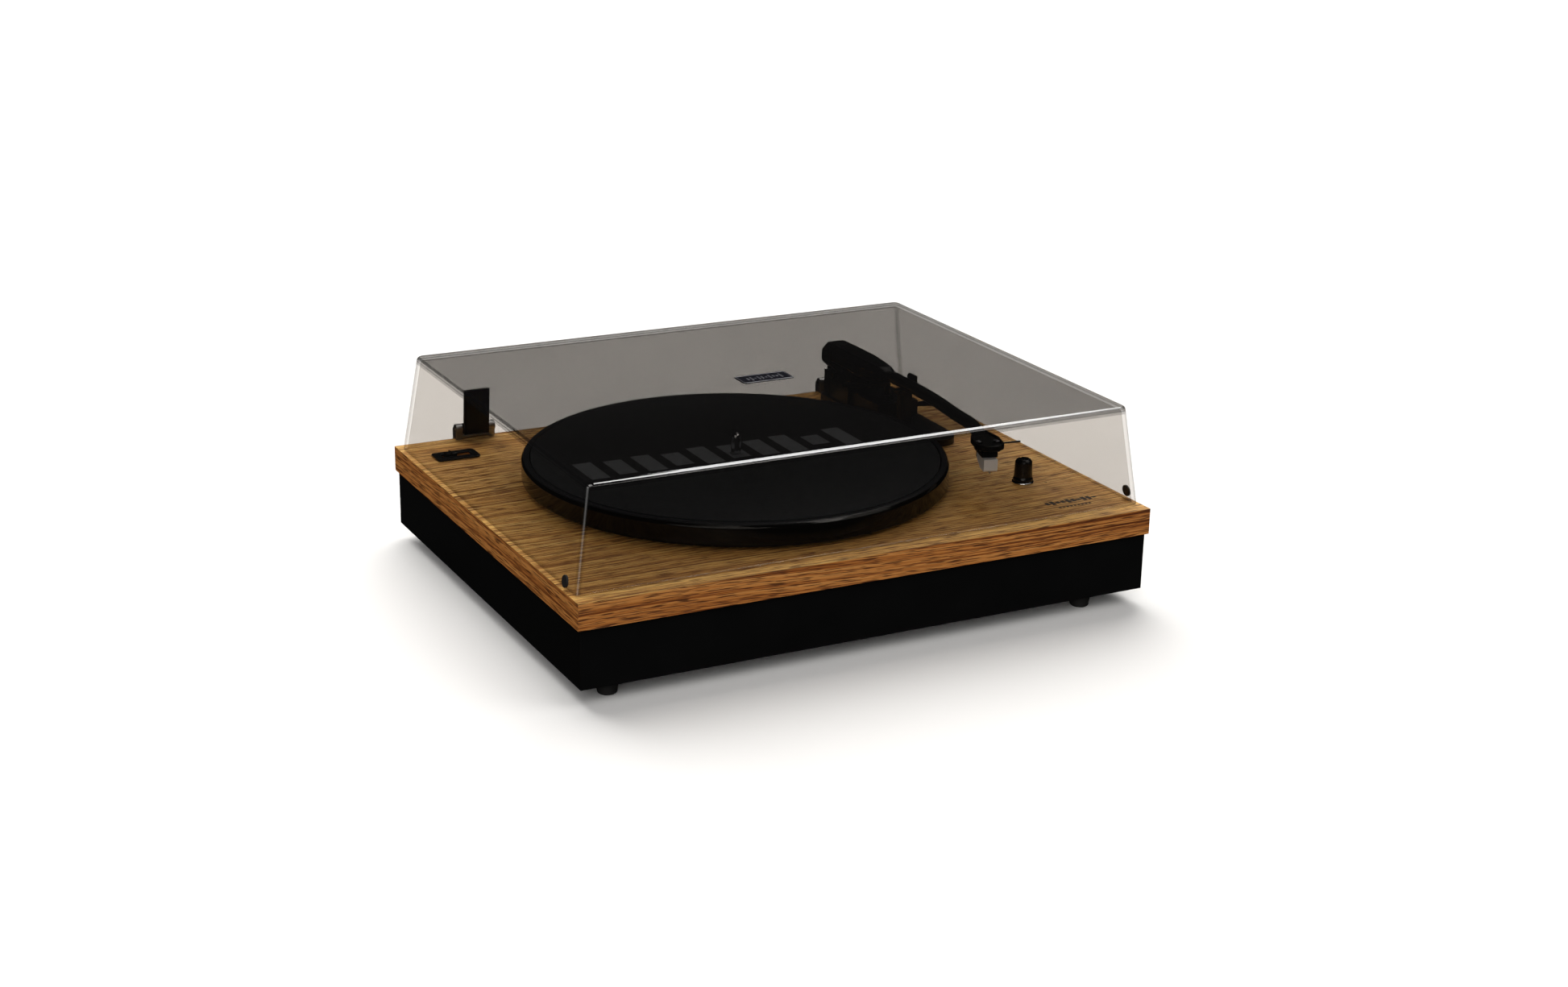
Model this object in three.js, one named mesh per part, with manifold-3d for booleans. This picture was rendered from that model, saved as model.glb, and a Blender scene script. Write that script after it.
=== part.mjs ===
// A belt-drive record player: a low black tray on four feet, a wood-grain deck slab, a platter with a
// felt mat, a pivoted tonearm with its cue lever, one volume knob and a hinged clear dust cover.
// Millimetres, +Z up, +Y to the back. The front edge of the deck is at -Y, the tonearm is on the right.
import * as THREE from "three";
import { mergeVertices } from "three/addons/utils/BufferGeometryUtils.js";
import Module from "manifold-3d";

const wasm = await Module();
wasm.setup();

// ---- Driving dimensions ----

const gap = 0.3; // between pieces that sit on or against each other

const deckWidth = 420;
const deckDepth = 340;
const slabThickness = 18;
const trayHeight = 40;
const trayWall = 3;
const trayInset = 2; // how far the tray stands back from the slab's edge
const footHeight = 11;
const footRadius = 7.5;
const footPeg = 1.8; // radius of the peg moulded on each foot
const footEdgeX = [26, 42]; // left and right feet, from the deck's sides
const footEdgeY = 17; // front and rear feet, from the deck's front and rear

const platterX = -18; // spindle, from the deck's centre
const platterY = 4.5;
const platterRadius = 148.5;
const platterRise = 18.4; // rim top above the slab
const platterFloat = 2.6; // rim bottom above the slab
const platterPlate = 4.2; // thickness of the platter's disc under the mat
const platterWall = 5;
const matThickness = 1.8;
const matRecess = 1.5;
const matMargin = 6; // rim width left showing round the mat
const spindleRadius = 3.55;
const spindleRise = 15; // above the mat
const beltRingRadius = 80.5;
const beltWidth = 4;
const beltThickness = 0.8;
const pulleyRadius = 6;
const pulleyReach = 103; // spindle to motor shaft
const pulleyAngle = 135; // degrees round the spindle, from +X
const motorRadius = 17.5;
const motorLength = 24;

const armPivotX = 159; // tonearm pivot, from the spindle
const armPivotY = 115.5;
const armAxisRise = 40.3; // tube axis above the slab
const armTubeRadius = 4.5;
const armTubeWall = 0.8;
const armBaseThickness = 5;
const gimbalPinDrop = 10; // lift axis below the tube axis
const weightLength = 16;
const weightWidth = 24;
const weightHeight = 19;
const headshellAngle = 17; // inward turn of the headshell, degrees
const headshellWidth = 20;
const stylusDrop = 20; // stylus tip below the headshell's top
const liftReach = 39; // lift bar's distance from the pivot
const liftSweep = 42; // degrees of the lift bar's arc

const knobX = 48; // volume knob, in from the deck's right side
const knobY = 85; // and in from its front edge
const knobRadius = 6.5;
const knobHeight = 17;

const coverRise = 69.9; // cover top above the slab
const coverWall = 3;
const coverSideMargin = 2.5; // cover's foot, in from the deck's sides
const coverFrontMargin = 9.6;
const coverRearMargin = 8;
const coverSideLean = 10.5; // how far each side wall leans in over its height
const coverEndLean = 6;
const coverCorner = 5;
const hingeReach = 150; // hinge centres, from the deck's centre
const hingeHalf = 15; // half a hinge's width
const hingeBarrel = 3.6;
const hingePin = 1.2;
const hingeInset = 3; // hinge axis in front of the slab's rear face
const hingeRise = 8; // hinge axis above the slab

const panelWidth = 190;
const panelHeight = 27;
const jackReach = 10; // how far the sockets stand out behind the tray

// ---- Levels and places worked out from them ----

const trayTop = footHeight + trayHeight;
const slabTop = trayTop + slabThickness;
const trayX = deckWidth / 2 - trayInset;
const trayY = deckDepth / 2 - trayInset;
const trayFloor = footHeight + trayWall;
const rimTop = slabTop + platterRise;
const matTop = rimTop - matRecess + matThickness;
const plateUnder = rimTop - matRecess - platterPlate;
const armX = platterX + armPivotX;
const armY = platterY + armPivotY;
const armZ = slabTop + armAxisRise;
const pinZ = armZ - gimbalPinDrop;
const baseTop = slabTop + gap + armBaseThickness;
const knobPlace = [deckWidth / 2 - knobX, -deckDepth / 2 + knobY];
const rearOverhang = jackReach - trayInset; // what stands out behind the slab

// ---- Shapes ----

const upright = (geometry) => geometry.rotateX(Math.PI / 2);
const degrees = THREE.MathUtils.degToRad;

// A box between two corners.
function block(x, y, z) {
  return new THREE.BoxGeometry(x[1] - x[0], y[1] - y[0], z[1] - z[0]).translate(
    (x[0] + x[1]) / 2,
    (y[0] + y[1]) / 2,
    (z[0] + z[1]) / 2,
  );
}

// A round bar along Z, X or Y between two stations.
function barZ(radius, z, [x, y] = [0, 0], sides = 24) {
  const bar = upright(new THREE.CylinderGeometry(radius, radius, z[1] - z[0], sides));
  return bar.translate(x, y, (z[0] + z[1]) / 2);
}
function barX(radius, x, [y, z], sides = 16) {
  const bar = new THREE.CylinderGeometry(radius, radius, x[1] - x[0], sides).rotateZ(Math.PI / 2);
  return bar.translate((x[0] + x[1]) / 2, y, z);
}
function barY(radius, y, [x, z], sides = 20) {
  const bar = new THREE.CylinderGeometry(radius, radius, y[1] - y[0], sides);
  return bar.translate(x, (y[0] + y[1]) / 2, z);
}

// A turned piece about Z: its profile runs [radius, height] up the outside and down any bore.
function turned(profile, sides = 32) {
  return upright(new THREE.LatheGeometry(profile.map(([r, z]) => new THREE.Vector2(r, z)), sides));
}
function turnedRing(profile, sides = 32) {
  return turned([...profile, profile[0]], sides);
}

// A flat outline raised from z[0] to z[1].
function plate(shape, z, curveSegments = 12) {
  const options = { depth: z[1] - z[0], bevelEnabled: false, curveSegments };
  return new THREE.ExtrudeGeometry(shape, options).translate(0, 0, z[0]);
}

// A skin over rings of equal count, each running anticlockwise about the way from ring to ring.
function loft(rings) {
  const count = rings[0].length;
  const points = rings.flat();
  const faces = [];
  for (let ring = 0; ring + 1 < rings.length; ring += 1) {
    for (let i = 0; i < count; i += 1) {
      const a = ring * count + i;
      const b = ring * count + ((i + 1) % count);
      faces.push(a, b, b + count, a, b + count, a + count);
    }
  }
  for (const [ring, flip] of [[0, true], [rings.length - 1, false]]) {
    const middle = points.length;
    const centre = new THREE.Vector3();
    rings[ring].forEach((point) => centre.addScaledVector(point, 1 / count));
    points.push(centre);
    for (let i = 0; i < count; i += 1) {
      const a = ring * count + i;
      const b = ring * count + ((i + 1) % count);
      faces.push(middle, flip ? b : a, flip ? a : b);
    }
  }
  const skin = new THREE.BufferGeometry().setFromPoints(points);
  skin.setIndex(faces);
  return skin;
}

// A rectangle with round corners, anticlockwise from above.
function roundedRing(x, y, z, radius, steps = 4) {
  const corners = [
    [x[1] - radius, y[1] - radius, 0],
    [x[0] + radius, y[1] - radius, 90],
    [x[0] + radius, y[0] + radius, 180],
    [x[1] - radius, y[0] + radius, 270],
  ];
  return corners.flatMap(([cx, cy, start]) =>
    Array.from({ length: steps + 1 }, (_, i) => {
      const turn = degrees(start + (90 * i) / steps);
      return new THREE.Vector3(cx + radius * Math.cos(turn), cy + radius * Math.sin(turn), z);
    }),
  );
}

// A rectangular outline with round corners.
function roundedShape(x, y, radius) {
  return new THREE.Shape(roundedRing(x, y, 0, radius).map((p) => new THREE.Vector2(p.x, p.y)));
}

// ---- Cutting and joining ----

function solid(geometry) {
  const bare = new THREE.BufferGeometry();
  bare.setAttribute("position", geometry.getAttribute("position"));
  bare.setIndex(geometry.index);
  const merged = mergeVertices(bare, 1e-4);
  const index = merged.index.array;
  const kept = [];
  for (let i = 0; i < index.length; i += 3) {
    const face = [index[i], index[i + 1], index[i + 2]];
    if (new Set(face).size === 3) kept.push(...face);
  }
  const vertProperties = merged.attributes.position.array;
  return new wasm.Manifold(new wasm.Mesh({ numProp: 3, vertProperties, triVerts: new Uint32Array(kept) }));
}

function surface(body) {
  const { vertProperties, triVerts } = body.getMesh();
  const skin = new THREE.BufferGeometry();
  skin.setAttribute("position", new THREE.BufferAttribute(vertProperties, 3));
  skin.setIndex(new THREE.BufferAttribute(triVerts, 1));
  return skin;
}

const cut = (body, ...tools) =>
  surface(tools.reduce((left, tool) => left.subtract(solid(tool)), solid(body)));
const join = (...pieces) => surface(pieces.map(solid).reduce((whole, piece) => whole.add(piece)));

// ---- Materials ----

const finish = (color, roughness, metalness = 0) =>
  new THREE.MeshStandardMaterial({ color, roughness, metalness, flatShading: true });
const woodGrain = finish(0xb97a3c, 0.45);
const blackSatin = finish(0x101012, 0.45);
const blackGloss = finish(0x08080a, 0.12);
const blackRubber = finish(0x151515, 0.85);
const blackFelt = finish(0x17181b, 0.95);
const brightSteel = finish(0xc8c8cc, 0.18, 1);
const zincPlate = finish(0x9a9ca0, 0.4, 1);
const offWhite = finish(0xd8d6cf, 0.4);
const boardGreen = finish(0x1c4a2c, 0.6);
const aluminium = finish(0xa8aaad, 0.35, 1);
const brass = finish(0xb59a4a, 0.3, 1);
const smokedClear = new THREE.MeshStandardMaterial({
  color: 0x5a5650,
  roughness: 0.08,
  transparent: true,
  opacity: 0.45,
});

const turntable = new THREE.Group();
turntable.position.y = -rearOverhang / 2;

function add(name, geometry, material, parent = turntable) {
  const mesh = new THREE.Mesh(geometry, material);
  mesh.name = name;
  parent.add(mesh);
  return mesh;
}

// ---- Tray, slab and feet ----

const footPlaces = [
  ["front_left", -deckWidth / 2 + footEdgeX[0], -deckDepth / 2 + footEdgeY],
  ["front_right", deckWidth / 2 - footEdgeX[1], -deckDepth / 2 + footEdgeY],
  ["rear_left", -deckWidth / 2 + footEdgeX[0], deckDepth / 2 - footEdgeY],
  ["rear_right", deckWidth / 2 - footEdgeX[1], deckDepth / 2 - footEdgeY],
];
const motorPlace = [
  platterX + pulleyReach * Math.cos(degrees(pulleyAngle)),
  platterY + pulleyReach * Math.sin(degrees(pulleyAngle)),
];
const armPlace = [armX, armY];
const bearingRadius = 9;
const armSleeve = 7.5;
const potBushing = 4.3;
const liftRod = 2.2;
const liftRodTurn = degrees(-9);
const liftRodPlace = [
  armX - liftReach * Math.sin(liftRodTurn),
  armY - liftReach * Math.cos(liftRodTurn),
];
const panelZ = [trayFloor + 4, trayFloor + 4 + panelHeight];
const speedPlace = [-deckWidth / 2 + 32, deckDepth / 2 - 40];
const speedSlot = [13, 6];
const slabUnder = trayTop - gap;

function makeTray() {
  const shell = block([-trayX, trayX], [-trayY, trayY], [footHeight, slabUnder]);
  const inside = [trayX - trayWall, trayY - trayWall];
  const hollow = block([-inside[0], inside[0]], [-inside[1], inside[1]], [trayFloor, trayTop + 1]);
  const window = block(
    [-panelWidth / 2 - gap, panelWidth / 2 + gap],
    [trayY - trayWall - 1, trayY + 1],
    [panelZ[0] - gap, panelZ[1] + gap],
  );
  const vents = Array.from({ length: 7 }, (_, i) => {
    const x = -36 + 12 * i;
    return block([x - 2, x + 2], [-30, 30], [footHeight - 1, trayFloor + 1]);
  });
  const footHoles = footPlaces.map(([, x, y]) =>
    barZ(footPeg + gap, [footHeight - 1, trayFloor + 1], [x, y], 12),
  );
  return cut(shell, hollow, window, ...vents, ...footHoles);
}

function makeSlab() {
  const z = [trayTop - 1, slabTop + 1];
  const board = block([-deckWidth / 2, deckWidth / 2], [-deckDepth / 2, deckDepth / 2], [trayTop, slabTop]);
  return cut(
    board,
    barZ(bearingRadius + gap, z, [platterX, platterY], 32),
    barZ(motorRadius + 1.5, z, motorPlace, 32),
    barZ(armSleeve + gap, z, armPlace),
    barZ(liftRod + 1, z, liftRodPlace, 16),
    barZ(potBushing + gap, z, knobPlace),
    block(
      [speedPlace[0] - speedSlot[0], speedPlace[0] + speedSlot[0]],
      [speedPlace[1] - speedSlot[1], speedPlace[1] + speedSlot[1]],
      z,
    ),
  );
}

// A rubber foot with a barbed peg that snaps through the tray's floor.
function makeFoot() {
  const top = footHeight - gap;
  const barb = trayFloor + gap;
  return turned([
    [0, 0],
    [footRadius - 2, 0],
    [footRadius - 1.2, 0.8],
    [footRadius, top - 1.2],
    [footRadius - 0.6, top],
    [footPeg, top],
    [footPeg, barb],
    [footPeg + 0.9, barb],
    [footPeg - 0.6, barb + 3],
    [0, barb + 3],
  ], 20);
}

add("base_tray", makeTray(), blackSatin);
add("top_slab", makeSlab(), woodGrain);
for (const [corner, x, y] of footPlaces) {
  add("foot_" + corner, makeFoot(), blackRubber).position.set(x, y, 0);
}

// ---- Platter bearing, spindle, platter and mat ----

const hubFlange = 12;
const hubBottom = slabTop + 6;
const bearingBottom = footHeight + 16;
const spindleBottom = bearingBottom + 4;
const beltRingBottom = slabTop + 5.4;

function makeBearing() {
  const bore = spindleRadius + gap;
  return turned([
    [0, bearingBottom],
    [bearingRadius - 1, bearingBottom],
    [bearingRadius - 1, trayTop - 4.5],
    [20, trayTop - 4.5],
    [20, trayTop - 2 * gap],
    [bearingRadius, trayTop - 2 * gap],
    [bearingRadius, slabTop + 2],
    [bore, slabTop + 2],
    [bore, spindleBottom - gap],
    [0, spindleBottom - gap],
  ], 24);
}

function makeSpindle() {
  const top = matTop + spindleRise;
  const seat = hubBottom - gap;
  const dome = [30, 60].map((turn) => [
    spindleRadius * Math.cos(degrees(turn)),
    top - spindleRadius * (1 - Math.sin(degrees(turn))),
  ]);
  return turned([
    [0, spindleBottom],
    [spindleRadius, spindleBottom],
    [spindleRadius, seat - 3],
    [hubFlange - 3, seat - 3],
    [hubFlange - 3, seat],
    [spindleRadius, seat],
    [spindleRadius, top - spindleRadius],
    ...dome,
    [0, top],
  ], 20);
}

function makePlatter() {
  const bore = spindleRadius + gap;
  const inner = platterRadius - platterWall;
  const seat = platterRadius - matMargin + gap;
  return turnedRing([
    [bore, hubBottom],
    [hubFlange, hubBottom],
    [hubFlange, plateUnder],
    [beltRingRadius - 3.5, plateUnder],
    [beltRingRadius - 3.5, beltRingBottom],
    [beltRingRadius, beltRingBottom],
    [beltRingRadius, plateUnder],
    [inner, plateUnder],
    [inner, slabTop + platterFloat],
    [platterRadius - 1.2, slabTop + platterFloat],
    [platterRadius, slabTop + platterFloat + 1.2],
    [platterRadius, rimTop - 2.2],
    [platterRadius - 1.8, rimTop],
    [seat, rimTop],
    [seat, rimTop - matRecess],
    [bore, rimTop - matRecess],
  ], 64);
}

function makeMat() {
  const bottom = matTop - matThickness + 0.1;
  const edge = platterRadius - matMargin - gap;
  const hole = spindleRadius + 0.6;
  const rounding = 0.6;
  return turnedRing([
    [hole, bottom],
    [edge, bottom],
    [edge, matTop - rounding],
    [edge - rounding, matTop],
    [hole, matTop],
  ], 64);
}

const spun = new THREE.Group();
spun.position.set(platterX, platterY, 0);
turntable.add(spun);
add("bearing_housing", makeBearing(), brass, spun);
add("spindle", makeSpindle(), brightSteel, spun);
add("platter", makePlatter(), blackGloss, spun);
add("slip_mat", makeMat(), blackFelt, spun);

// ---- Motor, pulley and belt ----

const bracketZ = [slabTop + gap, slabTop + gap + 1.6];
const motorTop = bracketZ[0] - gap;
const shaftRadius = 1;
const pulleyTop = beltRingBottom + beltWidth + 1.6;
const pulleyBottom = beltRingBottom - 1;

function makeMotorCan() {
  const bottom = motorTop - motorLength;
  const bore = shaftRadius + gap;
  return turned([
    [0, bottom],
    [motorRadius - 1, bottom],
    [motorRadius, bottom + 1],
    [motorRadius, motorTop],
    [bore, motorTop],
    [bore, motorTop - 12],
    [0, motorTop - 12],
  ], 28);
}

function makeMotorBracket() {
  const outline = roundedShape([-27, 27], [-22, 22], 6);
  return cut(plate(outline, bracketZ), barZ(5, [bracketZ[0] - 1, bracketZ[1] + 1]));
}

function makePulley() {
  const bore = shaftRadius + gap;
  const flange = pulleyRadius + 1.8;
  return turnedRing([
    [bore, pulleyBottom],
    [flange, pulleyBottom],
    [flange, pulleyBottom + 0.7],
    [pulleyRadius, pulleyBottom + 1],
    [pulleyRadius, pulleyTop - 1],
    [flange, pulleyTop - 0.7],
    [flange, pulleyTop],
    [bore, pulleyTop],
  ], 20);
}

// The belt runs round the ring under the platter and the pulley, on their common outer tangents.
function beltOutline(ringRadius, wheelRadius) {
  const spread = Math.acos((ringRadius - wheelRadius) / pulleyReach);
  const outline = new THREE.Path();
  const wheel = new THREE.Vector2(pulleyReach, 0);
  outline.absarc(0, 0, ringRadius, spread, 2 * Math.PI - spread, false);
  outline.absarc(wheel.x, wheel.y, wheelRadius, -spread, spread, false);
  return outline.getPoints(20);
}

function makeBelt() {
  const inside = [beltRingRadius + gap, pulleyRadius + gap];
  const outer = beltOutline(inside[0] + beltThickness, inside[1] + beltThickness);
  const shape = new THREE.Shape(outer);
  shape.holes.push(new THREE.Path(beltOutline(...inside)));
  const belt = plate(shape, [beltRingBottom + gap, beltRingBottom + gap + beltWidth]);
  return belt.rotateZ(degrees(pulleyAngle));
}

const drive = new THREE.Group();
drive.position.set(...motorPlace, 0);
turntable.add(drive);
add("motor_can", makeMotorCan(), zincPlate, drive);
add("motor_bracket", makeMotorBracket(), zincPlate, drive);
add("motor_shaft", barZ(shaftRadius, [motorTop - 12 + gap, pulleyTop + 0.6], [0, 0], 12), brightSteel, drive);
add("motor_pulley", makePulley(), brass, drive);
add("drive_belt", makeBelt(), blackRubber, spun);

// ---- Tonearm base, rest and nut ----

const restReach = 76; // arm rest in front of the pivot
const towerHeight = 18.5;
const postTop = baseTop + 14.5;
const armBore = 4.2;
const leverAxis = [armY - 46, baseTop + 6.7];
const leverHead = [armX + 11.5, armX + 25.5];
const tubeBottom = armZ - armTubeRadius;

// Seen from above: wide round the pivot at the back, a narrow tongue with a round tip at the front.
function baseOutline() {
  const shape = new THREE.Shape();
  const tipRadius = 15.5;
  const tip = [armX + 11.5, armY - 98.5];
  const rear = armY + 32;
  shape.absarc(armX - 9, rear - 5, 5, Math.PI / 2, Math.PI, false);
  shape.lineTo(armX - 14, armY - 20);
  shape.quadraticCurveTo(armX - 14, armY - 40, tip[0] - tipRadius, armY - 52);
  shape.absarc(tip[0], tip[1], tipRadius, Math.PI, 2 * Math.PI, false);
  shape.lineTo(armX + 29, armY - 20);
  shape.absarc(armX + 24, rear - 5, 5, 0, Math.PI / 2, false);
  return shape;
}

function makeArmBase() {
  const bottom = slabTop + gap;
  const body = join(
    plate(baseOutline(), [bottom, baseTop], 10),
    block([armX - 10, armX + 25], [armY + 16.5, armY + 30.5], [baseTop - 1, baseTop + towerHeight]),
    block([armX - 12, armX + 25], [armY - 11, armY + 17], [baseTop - 1, postTop]),
    block([armX - 9, leverHead[1]], [leverAxis[0] - 6, armY - 10], [baseTop - 1, leverAxis[1] + 5]),
    barZ(armSleeve, [trayTop - 8, bottom + 1], armPlace),
    barZ(5, [baseTop - 1, baseTop + 15], liftRodPlace, 20),
  );
  return surface(
    solid(body)
      .subtract(solid(barZ(armBore, [trayTop - 9, postTop + 1], armPlace)))
      .subtract(solid(barZ(liftRod + gap, [bottom - 1, baseTop + 16], liftRodPlace, 16)))
      .subtract(solid(barX(2.3, [leverHead[0] - 1, leverHead[1] + 1], leverAxis))),
  );
}

// A post with a seat under the tube and a tall outer ear; its inner side is open to the record.
function makeArmRest() {
  const y = armY - restReach;
  const seat = tubeBottom - gap;
  const x = armX - 1.5;
  const ear = [x + armTubeRadius + gap, x + armTubeRadius + gap + 4.2];
  return join(
    block([x - 3, x + 5], [y - 4, y + 4], [baseTop + gap, seat - 1]),
    block([x - 7, ear[1]], [y - 4, y + 4], [seat - 3, seat]),
    block(ear, [y - 4, y + 4], [seat - 3, armZ + armTubeRadius - 0.8]),
    barY(2.1, [y - 4, y + 4], [(ear[0] + ear[1]) / 2, armZ + armTubeRadius - 0.8], 14),
  );
}

function makeArmNut() {
  const z = [trayTop - 7, trayTop - 2 * gap];
  return cut(barZ(12, z, armPlace, 6), barZ(armSleeve + gap, [z[0] - 1, z[1] + 1], armPlace));
}

add("arm_base", makeArmBase(), blackSatin);
add("arm_rest", makeArmRest(), blackSatin);
add("arm_nut", makeArmNut(), zincPlate);

// ---- Tonearm swivel: the yoke on its upright shaft ----

const yokeBottom = postTop + gap;
const yokeHalf = 10.5;
const yokeTop = pinZ + 3;
const pinRadius = 1.4;

function makeYoke() {
  const frame = block([armX - yokeHalf, armX + yokeHalf], [armY - 12, armY + 10], [yokeBottom, yokeTop]);
  const between = [armX - yokeHalf + 3, armX + yokeHalf - 3];
  const slot = block(between, [armY - 13, armY + 11], [yokeBottom + 3.4, yokeTop + 1]);
  return cut(frame, slot, barX(pinRadius + gap, [armX - 12, armX + 12], [armY, pinZ]));
}

add("arm_yoke", makeYoke(), blackSatin);
add("arm_shaft", barZ(armBore - gap, [trayTop - 6, yokeBottom - gap], armPlace), brightSteel);

// ---- Tonearm: housing, weight, tube, headshell and cartridge ----

const weightRear = armY + 30;
const weightFront = weightRear - weightLength;
const housingTop = armZ + 5.7;
const noseEnd = armY - 62;
const keelHalf = 6.5;
const armBelly = armZ - 9.3; // underside of the housing

// One section of the housing: a rectangle with cut corners across the arm, seen from the front.
function armSection(y, halfWidth, bottom, top, corner) {
  const outline = [
    [halfWidth, bottom + corner],
    [halfWidth, top - corner],
    [halfWidth - corner, top],
    [corner - halfWidth, top],
    [-halfWidth, top - corner],
    [-halfWidth, bottom + corner],
    [corner - halfWidth, bottom],
    [halfWidth - corner, bottom],
  ];
  return outline.map(([x, z]) => new THREE.Vector3(armX - 2 + x, y, z));
}

function makeHousing() {
  const cover = loft([
    armSection(noseEnd, 3.4, armZ - 3.4, armZ + 2.6, 1.6),
    armSection(noseEnd + 8, 5.2, armZ - 5, armZ + 2.8, 2.4),
    armSection(noseEnd + 13, 7.6, armZ - 6.8, armZ + 5, 3.2),
    armSection(noseEnd + 24, 10, armBelly, housingTop - 0.4, 4),
    armSection(noseEnd + 40, 11.5, armBelly, housingTop, 4.2),
    armSection(weightFront - gap, 11.5, armBelly, housingTop, 4.2),
  ].reverse());
  const room = [armY - 13.5, armY + 15];
  const shoulder = pinZ + 4.2;
  const left = block([armX - 20, armX - keelHalf], room, [armBelly - 1, shoulder]);
  const right = block([armX + keelHalf, armX + 20], room, [armBelly - 1, shoulder]);
  const keel = block([armX - keelHalf, armX + keelHalf], [armY - 11, armY + 9], [pinZ - 4.5, armBelly + 2]);
  return cut(join(cover, keel), left, right, barX(pinRadius + gap, [armX - 12, armX + 12], [armY, pinZ]));
}

function makeWeight() {
  const z = [housingTop - weightHeight, housingTop];
  return loft([
    armSection(weightFront, weightWidth / 2, z[0], z[1], 5),
    armSection(weightRear - 1.5, weightWidth / 2, z[0], z[1], 5),
    armSection(weightRear, weightWidth / 2 - 1.5, z[0] + 1.5, z[1] - 1.5, 4.4),
  ].reverse());
}

const shell = new THREE.Group(); // origin between the two headshell screws, -Y forwards
const shellPlace = new THREE.Vector3(armX - 22.4, armY - 224.7, armZ + 0.4);
shell.position.copy(shellPlace);
shell.rotation.z = -degrees(headshellAngle);
const shellTail = 24;

function makeTube() {
  const aim = new THREE.Vector3(0, 1, 0).applyAxisAngle(new THREE.Vector3(0, 0, 1), -degrees(headshellAngle));
  const end = shellPlace.clone().addScaledVector(aim, shellTail + gap);
  const route = new THREE.CatmullRomCurve3([
    new THREE.Vector3(armX - 2, noseEnd - gap, armZ),
    new THREE.Vector3(armX - 2, noseEnd - 24, armZ),
    new THREE.Vector3(armX - 4, noseEnd - 62, armZ),
    new THREE.Vector3(armX - 8.2, noseEnd - 98, armZ - 0.2),
    end.clone().addScaledVector(aim, 16).setZ(armZ - 0.6),
    end.clone().setZ(armZ - 0.8),
  ]);
  const ring = new THREE.Shape().absarc(0, 0, armTubeRadius, 0, 2 * Math.PI, false);
  ring.holes.push(new THREE.Path().absarc(0, 0, armTubeRadius - armTubeWall, 0, 2 * Math.PI, true));
  const options = { steps: 18, curveSegments: 6, bevelEnabled: false, extrudePath: route };
  return new THREE.ExtrudeGeometry(ring, options);
}

const shellThickness = 3;
const screwHalf = 6.35;
const shellScrew = 1.3;

function shellOutline(inset) {
  const half = headshellWidth / 2 - inset;
  const front = -5;
  const outline = new THREE.Shape();
  outline.moveTo(half, front);
  outline.lineTo(half, 8);
  outline.lineTo(5 - inset, shellTail - inset);
  outline.lineTo(inset - 5, shellTail - inset);
  outline.lineTo(-half, 8);
  outline.lineTo(-half, front);
  outline.absellipse(0, front, half, 9 - inset, Math.PI, 2 * Math.PI, false);
  return outline;
}

function makeHeadshell() {
  const rim = shellOutline(0);
  rim.holes.push(new THREE.Path(shellOutline(1).getPoints(8)));
  const through = [-shellThickness - 1, 1];
  const holes = [-screwHalf, screwHalf].map((x) => barZ(shellScrew + gap, through, [x, 0], 14));
  const dish = plate(shellOutline(0), [-shellThickness, -0.4], 8);
  return cut(join(dish, plate(rim, [-0.5, 1], 8)), ...holes);
}

function makeShellScrew(x) {
  const screw = turned([
    [0, -shellThickness + gap],
    [shellScrew, -shellThickness + gap],
    [shellScrew, -0.1],
    [2.3, -0.1],
    [2.3, 0.7],
    [1.9, 1],
    [0, 1],
  ], 16);
  return screw.translate(x, 0, 0);
}

function makeFingerLift() {
  const profile = new THREE.Shape();
  profile.moveTo(0, 0);
  profile.lineTo(9, 0);
  profile.quadraticCurveTo(12, 0, 13.4, 2.4);
  profile.lineTo(12.4, 3.2);
  profile.quadraticCurveTo(11, 1.3, 8.6, 1.3);
  profile.lineTo(0, 1.3);
  const strip = new THREE.ExtrudeGeometry(profile, { depth: 3, bevelEnabled: false, curveSegments: 5 });
  return upright(strip).translate(headshellWidth / 2 + gap, 1.5, -2);
}

const mountBottom = -9.2;
const bodyBottom = -18.5;

function makeCartridge() {
  const top = -shellThickness - gap;
  return join(
    block([-7.5, 7.5], [-5, 13], [-6, top]),
    block([-5.6, 5.6], [-7, 14], [mountBottom, -5]),
    block([-3.6, 3.6], [9.5, 15.5], [mountBottom - 6, -5.5]),
  );
}

function makeStylusHolder() {
  const top = mountBottom - gap;
  const side = new THREE.Shape();
  side.moveTo(-10.6, top);
  side.lineTo(9, top);
  side.lineTo(9, top - 4.5);
  side.lineTo(-1, bodyBottom);
  side.lineTo(-9.4, bodyBottom);
  side.lineTo(-10.6, bodyBottom + 1.2);
  const body = new THREE.ExtrudeGeometry(side, { depth: 9.8, bevelEnabled: false });
  return body.rotateX(Math.PI / 2).rotateZ(Math.PI / 2).translate(-4.9, 0, 0);
}

function makeStylus() {
  const top = bodyBottom - gap;
  return join(
    block([-0.4, 0.4], [-9, -1.5], [top - 0.7, top]),
    block([-0.4, 0.4], [-9, -8.3], [-stylusDrop, top - 0.6]),
  );
}

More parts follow.
